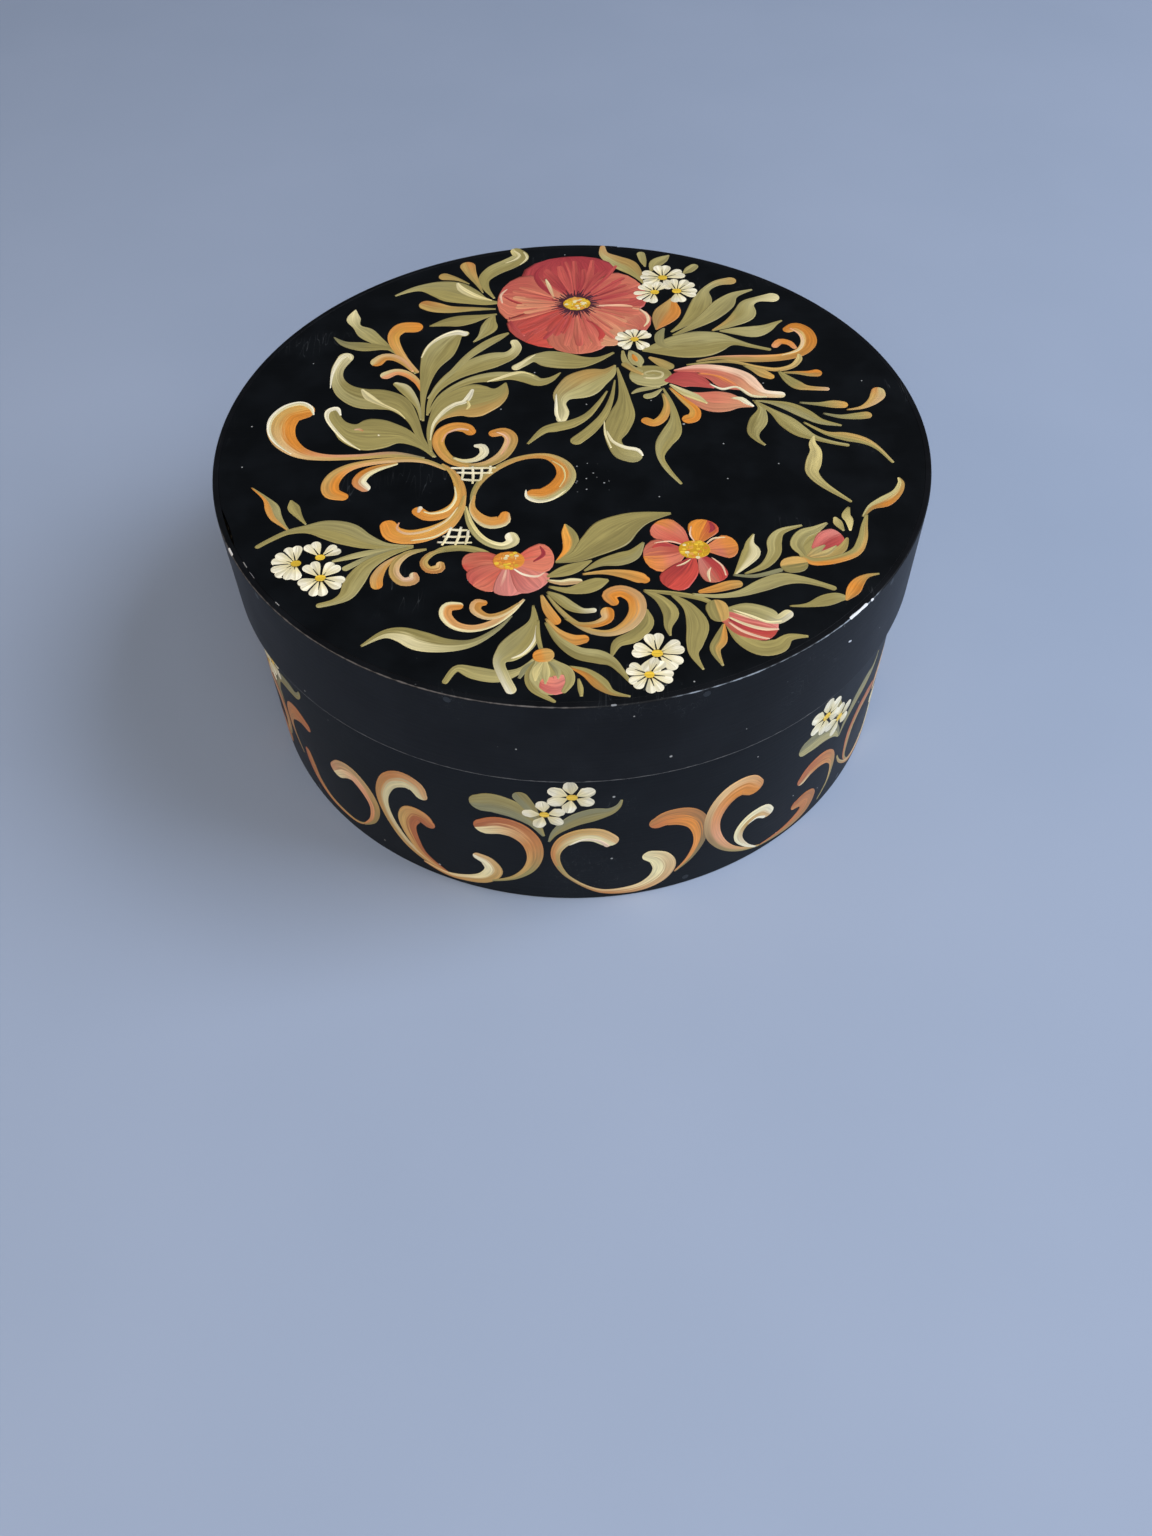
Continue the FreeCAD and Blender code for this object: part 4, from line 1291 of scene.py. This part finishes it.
# %% The garland's middle
paint_group("garland_middle", on_lid, [
    ("orange>amber|olive", [-5, -58, .8, -2, -54, 3, -.8, -49.5, 5, -1.6, -45.2, 4, -2.3, -42.3, 1]),
    ("olive", [-5, -58.3, 1, 1, -56, 5, 6, -51.5, 10, 11.5, -46.4, 13.6, 17, -42, 9.5, 22.5, -39.5, 5,
     30, -38, .8]),
    ("olive|olive>sage", [3, -62.3, .6, 8, -59, 3, 13.5, -57.6, 5.4, 17.8, -55.6, 4.4, 21, -50.6, .8]),
    ("tan>orange", [2.5, -63.7, .8, 9, -63, 1.8, 15, -64, 3.6, 19, -65.6, 4.4, 20.6, -66.5, 3]),
    ("olive", [-8, -64.5, .8, -3.5, -62.5, 4, .5, -60.8, 4, 5.3, -58, .6]),
    ("cream|sand", [-8, -66, .8, -4, -67, 2, -1, -66.6, 2.6, 1.4, -66.6, 2]),
    ("olive", [-7.5, -68.6, .8, -2, -70.3, 2.4, 3, -69.3, 5, 6.8, -67.6, 4.6, 10, -66.4, .8]),
    ("olive>sage>white|olive>olive>white", [-8, -70.7, .8, -4.5, -73.5, 3.2, -1, -77, 3.4, 2.3, -78.7, 2,
     5.3, -78.6, 1.8]),
    ("olive", [20.5, -79, 1, 20.4, -84, 4, 16.5, -89, 4.6, 11.8, -91.5, 3.2, 10, -96, 1]),
    ("olive>tan>orange>orange|olive>sand>orange", [-8, -72, .6, -4.5, -78, 1.4, -.5, -83, 1.8,
     4.5, -86.8, 2, 10, -87.6, 2.6, 15, -84.6, 4.2, 17.8, -79.5, 5, 17.4, -74, 5.2, 13.5, -71, 4.6,
     10, -72.6, 4.4, 11.2, -75.4, 3]),
    ("olive>tan>sand>amber|olive>orange>orange", [-3, -81.5, .6, 1, -84, 1.6, 5.5, -84.2, 2.4,
     9, -82.2, 3.4, 9.2, -79.5, 4]),
    ("tan>orange", [-9.6, -72, .8, -8, -77.5, 2.8, -5.6, -82.4, 3.2]),
    ("tan>orange", [-8.4, -81.5, .6, -5, -87, 2.6, -1, -90, 4, 2.2, -89.8, 3.2]),
    ("olive>sage>olive|olive", [-8.5, -83, .8, -4.8, -90, 2.6, .5, -95, 4.4, 6.5, -96.8, 5,
     10.6, -99.5, 2.8, 15, -107, .6]),
    ("sage>olive", [-10.5, -95.5, .6, -15.5, -101, 2, -21.5, -103, 4.4, -28, -101.6, 4.6, -33, -99.8, 2.4,
     -36, -104.5, 1.8]),
    ("olive>olive>sage>cream|olive>sage>white", [-12, -76, .6, -11.8, -82.5, 3, -14.5, -89, 8.2,
     -18.5, -93.8, 8, -21.3, -97.5, 3.8, -20.2, -102.5, 3.2, -18, -108, 3.2]),
    ("cream|white", [-11, -84, .3, -11.6, -90, .9, -14.4, -94.6, .9, -18, -96.6, .4]),
    ("grey_olive", [-11, -97.5, .6, -14, -100.5, 1.8, -15.8, -104, .8]),
    ("olive|orange>olive", [-2, -100, .8, 2.8, -102.5, 3.2, 6.5, -106.5, 4.4, 9.5, -109.8, 2,
     14.5, -111.4, .6]),
    ("olive", [.5, -104.5, .6, 1, -108, 1.6, 1.2, -111, .8]),
    ("olive", [-10.5, -82, .6, -10.6, -88, 1.4, -9.6, -94, 1.2]),
    ("olive", [20, -71, .6, 24.5, -74.5, 3, 27.3, -80, 4.8, 26.3, -85.5, 2.4, 26.7, -89.2, .6]),
    ("olive", [28, -73, .8, 32.5, -78, 3.4, 34.6, -85, 6.4, 33.4, -92, 5, 32.8, -96.5, 2.6,
     35, -102.3, .6]),
    ("olive", [20, -71, .8, 28, -72.4, 1.6, 36, -74.6, 1.8, 41, -78, 1]),
])

# %% The front bud and the garland's right end
paint_group("garland_right", on_lid, [
    ("olive", [-11, -98, 1.5, -12.8, -103, 3, -11.6, -108, 2.6, -6.2, -112.6, 1]),
    ("olive|sage", [-9, -97.5, 5, -7.8, -102, 11.5, -6.3, -107, 9], dict(blunt=.7)),
    ("salmon>pink|rose>pink", [-9, -106, 4.4, -6, -106.8, 7, -3.2, -105.4, 5.4], dict(blunt=.5)),
    ("sage>olive", [-6, -98.5, 1.5, -2.6, -101.5, 3, -1.8, -105.5, 2.6, -3.5, -109, 1.5]),
    ("sage>butter", [-9.4, -98.4, 1, -11, -101.4, 2.4, -11.3, -105.2, .4]),
    ("butter>sage", [-8.4, -98.6, 1, -8.3, -102.4, 2.2, -8.6, -106.4, .4]),
    ("grey_olive>sage", [-7.2, -98.6, 1, -5.2, -101.4, 2, -5, -104.6, .4]),
    ("orange>tan", [-9.6, -95.8, 5, -8.6, -95.6, 5.2]),
    ("olive|cream", [47, -65.3, .6, 50.5, -60, 4, 52.8, -55.8, 5.6, 52.8, -51.8, 2.6, 54.3, -48, .6]),
    ("olive>sage|olive", [50, -65, .6, 56, -61.8, 2.6, 59.5, -56.5, 4, 60.2, -51.2, 4.4, 62.8, -47, 2.6,
     69.3, -44.6, .8]),
    ("grey_olive", [46.5, -65.4, .8, 53, -66, 1.4, 60.5, -63.8, 1.6]),
    ("olive", [69, -59.5, 5, 71.5, -56, 12, 75.5, -52.5, 13], dict(blunt=.6)),
    ("rose>pink|crimson>rose", [72, -55, 3, 76, -51.5, 8, 78.8, -49.8, 7.5], dict(blunt=.5)),
    ("olive>sage", [68, -57, 2, 66.6, -53, 4, 69, -48.5, 4, 73, -46.6, 3, 77, -43.8, .8]),
    ("tan>olive", [70, -58, 1.5, 74, -58.5, 3, 79.5, -55.5, 3, 82, -51, 1]),
    ("tan>sage", [69.5, -58, 1, 72, -56, 2.4, 75, -53.6, .6]),
    ("tan>sage", [70.5, -58.4, 1, 75, -56.8, 2.2, 78.4, -54, .5]),
    ("olive|tan>orange>tan>olive", [68.5, -59, 2, 71, -60.6, 3, 77, -60, 3, 83.5, -57, 3.2, 86.5, -51.5, 3,
     88, -45.5, 2, 89.5, -40.5, .8]),
    ("tan|olive", [64, -61.8, 6.6, 65.6, -61.5, 6.8]),
    ("olive>butter", [81.5, -47.5, .6, 80.3, -44, 2.8, 79.8, -42, 1.5]),
    ("orange>tan", [36.5, -72, 1.4, 41, -70.9, 3, 45, -69.6, 3.6, 47.5, -69.2, 3]),
    ("sage>olive", [34, -73, .8, 41, -74, 1.4, 48, -73, 2.6, 54.5, -70, 4.8, 60.5, -67.6, 5, 66, -68, 3,
     71, -69.8, 2, 75, -71.8, 1.8]),
    ("olive>olive>sage", [61.5, -78.6, .6, 66.5, -78.4, 1.6, 71.5, -76.8, 4.4, 75.5, -75.6, 4,
     78.3, -75.8, 1.5]),
    ("tan>orange>olive", [78.2, -76.4, 1, 80.5, -73, 4, 82.6, -69.5, 3.6, 85.5, -67, 1.6, 89.2, -66.2, .6]),
    ("orange>olive|olive", [42, -85.5, 1, 40.6, -91, 4, 38.8, -95, 3, 40.5, -101, .6]),
    ("olive", [43, -85, 1.2, 46.5, -91, 4, 51.5, -94.6, 5.6, 56.5, -94, 5.4, 60, -90.8, 2.8,
     65.3, -90.6, .8]),
    ("rose>pink|salmon>red", [43.5, -82, 6, 48, -84.5, 11, 53.5, -86.5, 11], dict(blunt=.7)),
    ("crimson>red", [43.8, -83.4, .6, 47.6, -86.4, 1.6, 52.6, -88.8, 1.6, 56, -89, .6]),
    ("cream>blush", [43.6, -82.4, .5, 48, -85.4, 1, 53, -87.4, 1.2, 57.4, -87.6, .5]),
    ("blush", [43.4, -84.4, .4, 47, -88, .9, 52, -90.6, .8, 54.4, -91.2, .4]),
    ("cream>pink", [45, -80.4, .4, 50, -83, .8, 55.6, -84.8, .4]),
    ("olive>sage>cream|olive>sage>white", [43.5, -79.5, 1.5, 49, -79.5, 5, 54.5, -82, 6, 57.5, -83.8, 3.6,
     60.5, -81.8, 3.4]),
    ("cream", [45, -79.6, .3, 50, -82.2, .8, 54.6, -84.8, .9, 58.6, -84.6, .6]),
    ("tan|olive", [40.6, -78.8, 6.6, 41, -81.2, 6]),
])


# %% [markdown]
# ## White blossoms
#
# Small blossoms in twos and threes fill the gaps. Each has up to five petals round a dot of yellow. A
# petal is two short dabs side by side, and dark lines are drawn down its middle and next to it, where
# another petal is near. The border's blossoms, below, have petals of a single dab and no dark lines.

# %% White blossoms
nearest_petals = 66
one_dab = dict(dabs=1, spread=0, fullness=0.55, belly=1.05, lines=False)


def blossom(x, y, size, petals, rng, dabs=2, spread=24, fullness=0.45, belly=0.78, lines=True):
    """A blossom with a petal in each of the directions petals, in degrees. A petal's dabs lie spread
    degrees apart, and fullness is how wide they are as a share of size."""
    strokes, dark_lines = [], []
    for direction in petals:
        direction += rng.uniform(-3, 3)
        length = size * rng.uniform(0.92, 1.05)
        for dab in range(dabs):
            angle = direction + (dab - 0.5) * spread
            width = size * fullness * rng.uniform(0.92, 1.08)
            numbers = spoke(x, y, (angle, 0.2 * size, .5), (angle, 0.56 * length, width * belly),
                            (angle, length - width / 2, width))
            strokes.append(("butter>white>white|cream>white", numbers, dict(mark=dab == dabs - 1)))
        dark_lines.append(spoke(x, y, (direction, 0.2 * size, .5), (direction, 0.66 * size, .2)))
    order = sorted(petals)
    for first, second in zip(order, order[1:]):
        if second - first < nearest_petals:
            between = (first + second) / 2
            dark_lines.append(spoke(x, y, (between, 0.3 * size, .4), (between, 0.9 * size, .7)))
    if lines:
        strokes += [("shadow", numbers, dict(mark=False)) for numbers in dark_lines]
    return strokes + [disc(x, y, size * 0.17, "yellow")]


rng = random.Random(5)
lid_blossoms = (
    (35, 91.3, 8.2, (88, 20, 160, 215, 300)), (31.6, 82, 7.4, (130, 60, 250, 200)),
    (39.6, 82.4, 7.8, (50, 345, 275, 110)), (23, 53, 6.6, (35, 100, 220, 305, 160)),
    (-82.6, -56.4, 7.4, (102, 159, 213, 267)), (-75.6, -54, 7, (122, 40)),
    (-74.6, -62.9, 7.3, (122, 52, 338, 272, 208)),
    (22.6, -95.8, 7.6, (95, 25, 318, 250, 165)), (20, -103.7, 6.6, (150, 220, 285, 350, 60)))
blossoms = []
for x, y, size, petals in lid_blossoms:
    blossoms += blossom(x, y, size, petals, rng)
paint_group("lid_blossoms", on_lid, blossoms)

# %% [markdown]
# ## The border on the wall
#
# The same group of scrolls runs round the wall: two C-scrolls that open to each other, a smaller one
# inside, and leaves with a pair of blossoms above the place where two groups meet. The painter worked
# round by eye: each group lies a little off, its right half is of one of two kinds, and the first and
# the third have strokes of their own. The laced lap at the back stays free, and the groups on both
# sides of it are stretched or closed up to end there.

# %% The scrolls that every group shares
shared = {
    "left_scroll": ("olive>tan>copper>sand>cream|olive>olive>copper>rust>rust", [-23.5, 6.3, .8,
     -16.1, 10.2, 2, -10.7, 16.5, 3.8, -8.4, 24.3, 5.2, -9.4, 32.1, 6.8, -13.6, 37.6, 8.6, -19, 39, 9,
     -23.8, 37.2, 7.6], dict(split=-.05)),
    "right_scroll": ("olive>copper>tan>sand|olive>tan>cream>cream", [6, 8.6, .8, 1.3, 14.9, 1.6,
     -1.2, 22, 2.4, -1.2, 28, 3.4, 1.6, 33.6, 5, 6.4, 36.6, 6.4, 11.6, 36.4, 7, 15.4, 33.2, 6.4]),
    "light_on_it": ("white>blush", [2.8, 31.4, .3, 7.4, 34.4, 1, 12, 33.4, 1.2, 14.6, 30.4, 1.6]),
    "lower_head": ("olive>sand>cream>cream|olive>copper>sand>cream", [-1.6, 19.6, .8, 1.3, 14, 1.2,
     6.7, 7.9, 1.4, 12.8, 3.9, 2.2, 19.5, 2.9, 3.4, 26.2, 4.1, 5, 31.4, 7.8, 7.2, 33.4, 13.2, 8,
     31.6, 18.6, 7.2, 28.4, 21.2, 5.4]),
    "left_leaf": ("grey_olive|olive", [-5.5, 36.5, 1.2, -8.4, 43, 4.4, -14, 48.4, 8.4, -20, 50.4, 9.8,
     -24, 49.6, 8.4]),
    "small_leaf": ("grey_olive|olive", [-6.4, 44, 1.6, -8.4, 50, 3.8, -11.4, 55.6, 5]),
    "right_leaf": ("grey_olive|olive", [-4, 33, .6, -1.6, 38.6, 2.6, 4, 44.6, 5.6, 10, 47.4, 6.4,
     15, 48.6, 3.6, 17.6, 51, 1.8, 18.6, 54, .8]),
}
print(len(shared), "strokes in a group's left half")

# %% The right halves of groups with even and uneven numbers
right_half = {
    "even": [
        ("copper>orange>rust|olive>clay>copper>copper", [37, 8.6, .8, 41.7, 14.1, 2.4, 44.7, 21.2, 4,
         45, 28, 5.4, 43.2, 34.5, 7.2, 38.8, 39, 8.4, 33.6, 40.2, 7.8, 30.4, 39, 6], dict(split=-.1)),
        ("olive>clay>sand>copper|tan>peach>orange>orange", [70.6, 3, .8, 62.5, 7, 2, 55.8, 13.3, 3.6,
         51.1, 22, 5.2, 49.8, 30.6, 6, 51.8, 38.2, 7.4, 56, 43, 8.8, 60.8, 43.6, 9,
         64, 40.8, 7.6], dict(split=.2)),
        ("rust>copper|olive>copper>rust", [70.6, 3, .8, 79, 3, 2.4, 86, 4, 4.6, 91, 6.4, 7, 92.4, 10.6, 7.8,
         89.6, 13, 7, 85.8, 13.4, 4.6]),
        ("white>cream>white|white>tan>sand", [69, 3.4, .6, 64.5, 7.8, 1.6, 60.8, 14.1, 3, 61, 19.6, 4,
         64.5, 23.4, 5.2, 69.2, 23.8, 5.8, 71.8, 21.2, 5]),
        ("white", [64, 20.4, .3, 67.4, 21.6, .8, 70.6, 19.6, 1.2]),
    ],
    "uneven": [
        ("copper>peach>cream|olive>tan>sand>peach", [35.8, 7.8, .8, 41.2, 14.9, 2.8, 43.4, 23.5, 4.6,
         41, 30.6, 6.4, 36, 35.2, 7.6, 31, 34.2, 7.6, 27.2, 30.6, 6.6]),
        ("copper>tan>copper>sand|sand>cream>cream", [68, 4.4, 1, 61.4, 7.6, 2.6, 54.6, 13.5, 3.6,
         49.4, 23.7, 4, 48.2, 34, 5, 52, 44, 6.2, 58, 49, 7.6, 62.6, 48.2, 7.4, 64.4, 44.8, 5]),
        ("copper>tan>rust|rust", [70, 3.6, 1, 61.4, 10, 3, 57.6, 18, 5.4, 56.6, 25.6, 7, 59.2, 31.4, 8,
         62.8, 32, 7.2, 65, 30, 5]),
        ("sand>cream>white|copper>tan>sand", [60, 5.6, .6, 68, 3.4, 2, 74.8, 4.1, 3.4, 82, 7, 5.4,
         85.8, 12.6, 6.2, 84.2, 17.6, 5.4, 81.2, 19.4, 4]),
    ],
}
print("right halves of", [len(strokes) for strokes in right_half.values()], "strokes")

# %% What the painter did differently
changed = {
    1: {"right_scroll": ("copper>copper>rust|olive>copper>rust", [1.5, 16, .8, -2.5, 24, 2, -2.5, 32, 4,
     1.5, 38.5, 7, 7, 41.5, 7, 12, 40.8, 5]),
        "light_on_it": None,
        "lower_head": ("tan>copper>rust>rust|olive>tan>copper>copper", [40, 12.6, .8, 34, 7, 1,
         27.9, 5.4, 1.6, 17.2, 6.6, 2.6, 10.6, 11.5, 4.4, 8.3, 17.3, 5.4, 7.6, 22, 4]),
        "right_leaf": ("grey_olive|olive", [-6, 42, .6, -3, 50, 2.6, 1.7, 53.6, 5, 7, 54.6, 5,
         11, 54.6, 3.2, 13.6, 56.8, 2, 14.4, 59, .8])},
    3: {"left_scroll": ("olive>tan>copper>copper>cream|olive>olive>copper>rust>rust", [-10.5, 3.6, .8,
     -6.4, 8.6, 1.2, -5, 14, 1.8, -5.4, 20.5, 3.2, -8.6, 26, 5.4, -14, 29.2, 7, -19.4, 29, 7,
     -22.6, 26.6, 5.4], dict(split=.4)),
        "light_on_it": None,
        "left_leaf": ("sage|grey_olive", [-4.6, 33.7, 1.2, -7.5, 38.5, 4.4, -13, 43, 8, -19, 44.6, 9,
         -23.5, 44.6, 7.6]),
        "right_scroll": ("copper>rust>rust|olive>tan>rust", [10.5, 5, .8, 5.5, 12, 1.6, 4.6, 20, 3,
         5.6, 27.5, 4.4, 9.8, 32.6, 5.4, 15.5, 34.2, 5.6, 20.5, 33.6, 5])},
}
upper_petals, lower_petals = (150, 92, 30, 330, 262, 205), (95, 20, 318, 248, 175)
wall_blossoms = {
    1: ((-6, 56, 7.4, upper_petals), (-13.5, 48.5, 6.8, lower_petals)),
    3: ((-15.9, 53.4, 8.4, upper_petals), (-7.4, 45.8, 7.4, lower_petals)),
}
usual_blossoms = ((4, 56.6, 8, upper_petals), (-4.6, 47.5, 7.2, lower_petals))
print("groups", sorted(changed), "differ")

# %% The groups round the wall
first_group, group_width = -115.0, 108.9
lap_place = math.pi * wall_radius / mm
past_lap, closed_width, closed_up, stretched = 36, 101.5, 0.932, 1.2
lowest_edge = 1.6
anchors = [(first_group + group_width * k, stretched if k == 3 else 1.0) for k in range(4)]
anchors += [(lap_place + past_lap + closed_width * k, closed_up) for k in range(2)]
rng = random.Random(44)
for number, (anchor, squeeze) in enumerate(anchors, 1):
    strokes = []
    raised = rng.uniform(-1.0, 1.0)
    left_half = [stroke for stroke in (shared | changed.get(number, {})).values() if stroke]
    for used, numbers, *options in left_half + right_half["uneven" if number % 2 else "even"]:
        sway = rng.uniform(-0.5, 0.5)
        moved = []
        for k in range(0, len(numbers), 3):
            along = anchor + (numbers[k] + sway) * squeeze
            width = numbers[k + 2] * (0.6 + 0.4 * squeeze)
            moved += [along, max(numbers[k + 1] + raised, lowest_edge + width / 2), width]
        strokes.append((used, moved, *options))
    for x, y, size, petals in wall_blossoms.get(number, usual_blossoms):
        strokes += blossom(anchor + x * squeeze, y + raised, size, petals, rng, **one_dab)
    paint_group(f"border_group_{number}", on_wall, strokes)
print(strokes_made, "brush strokes in all")
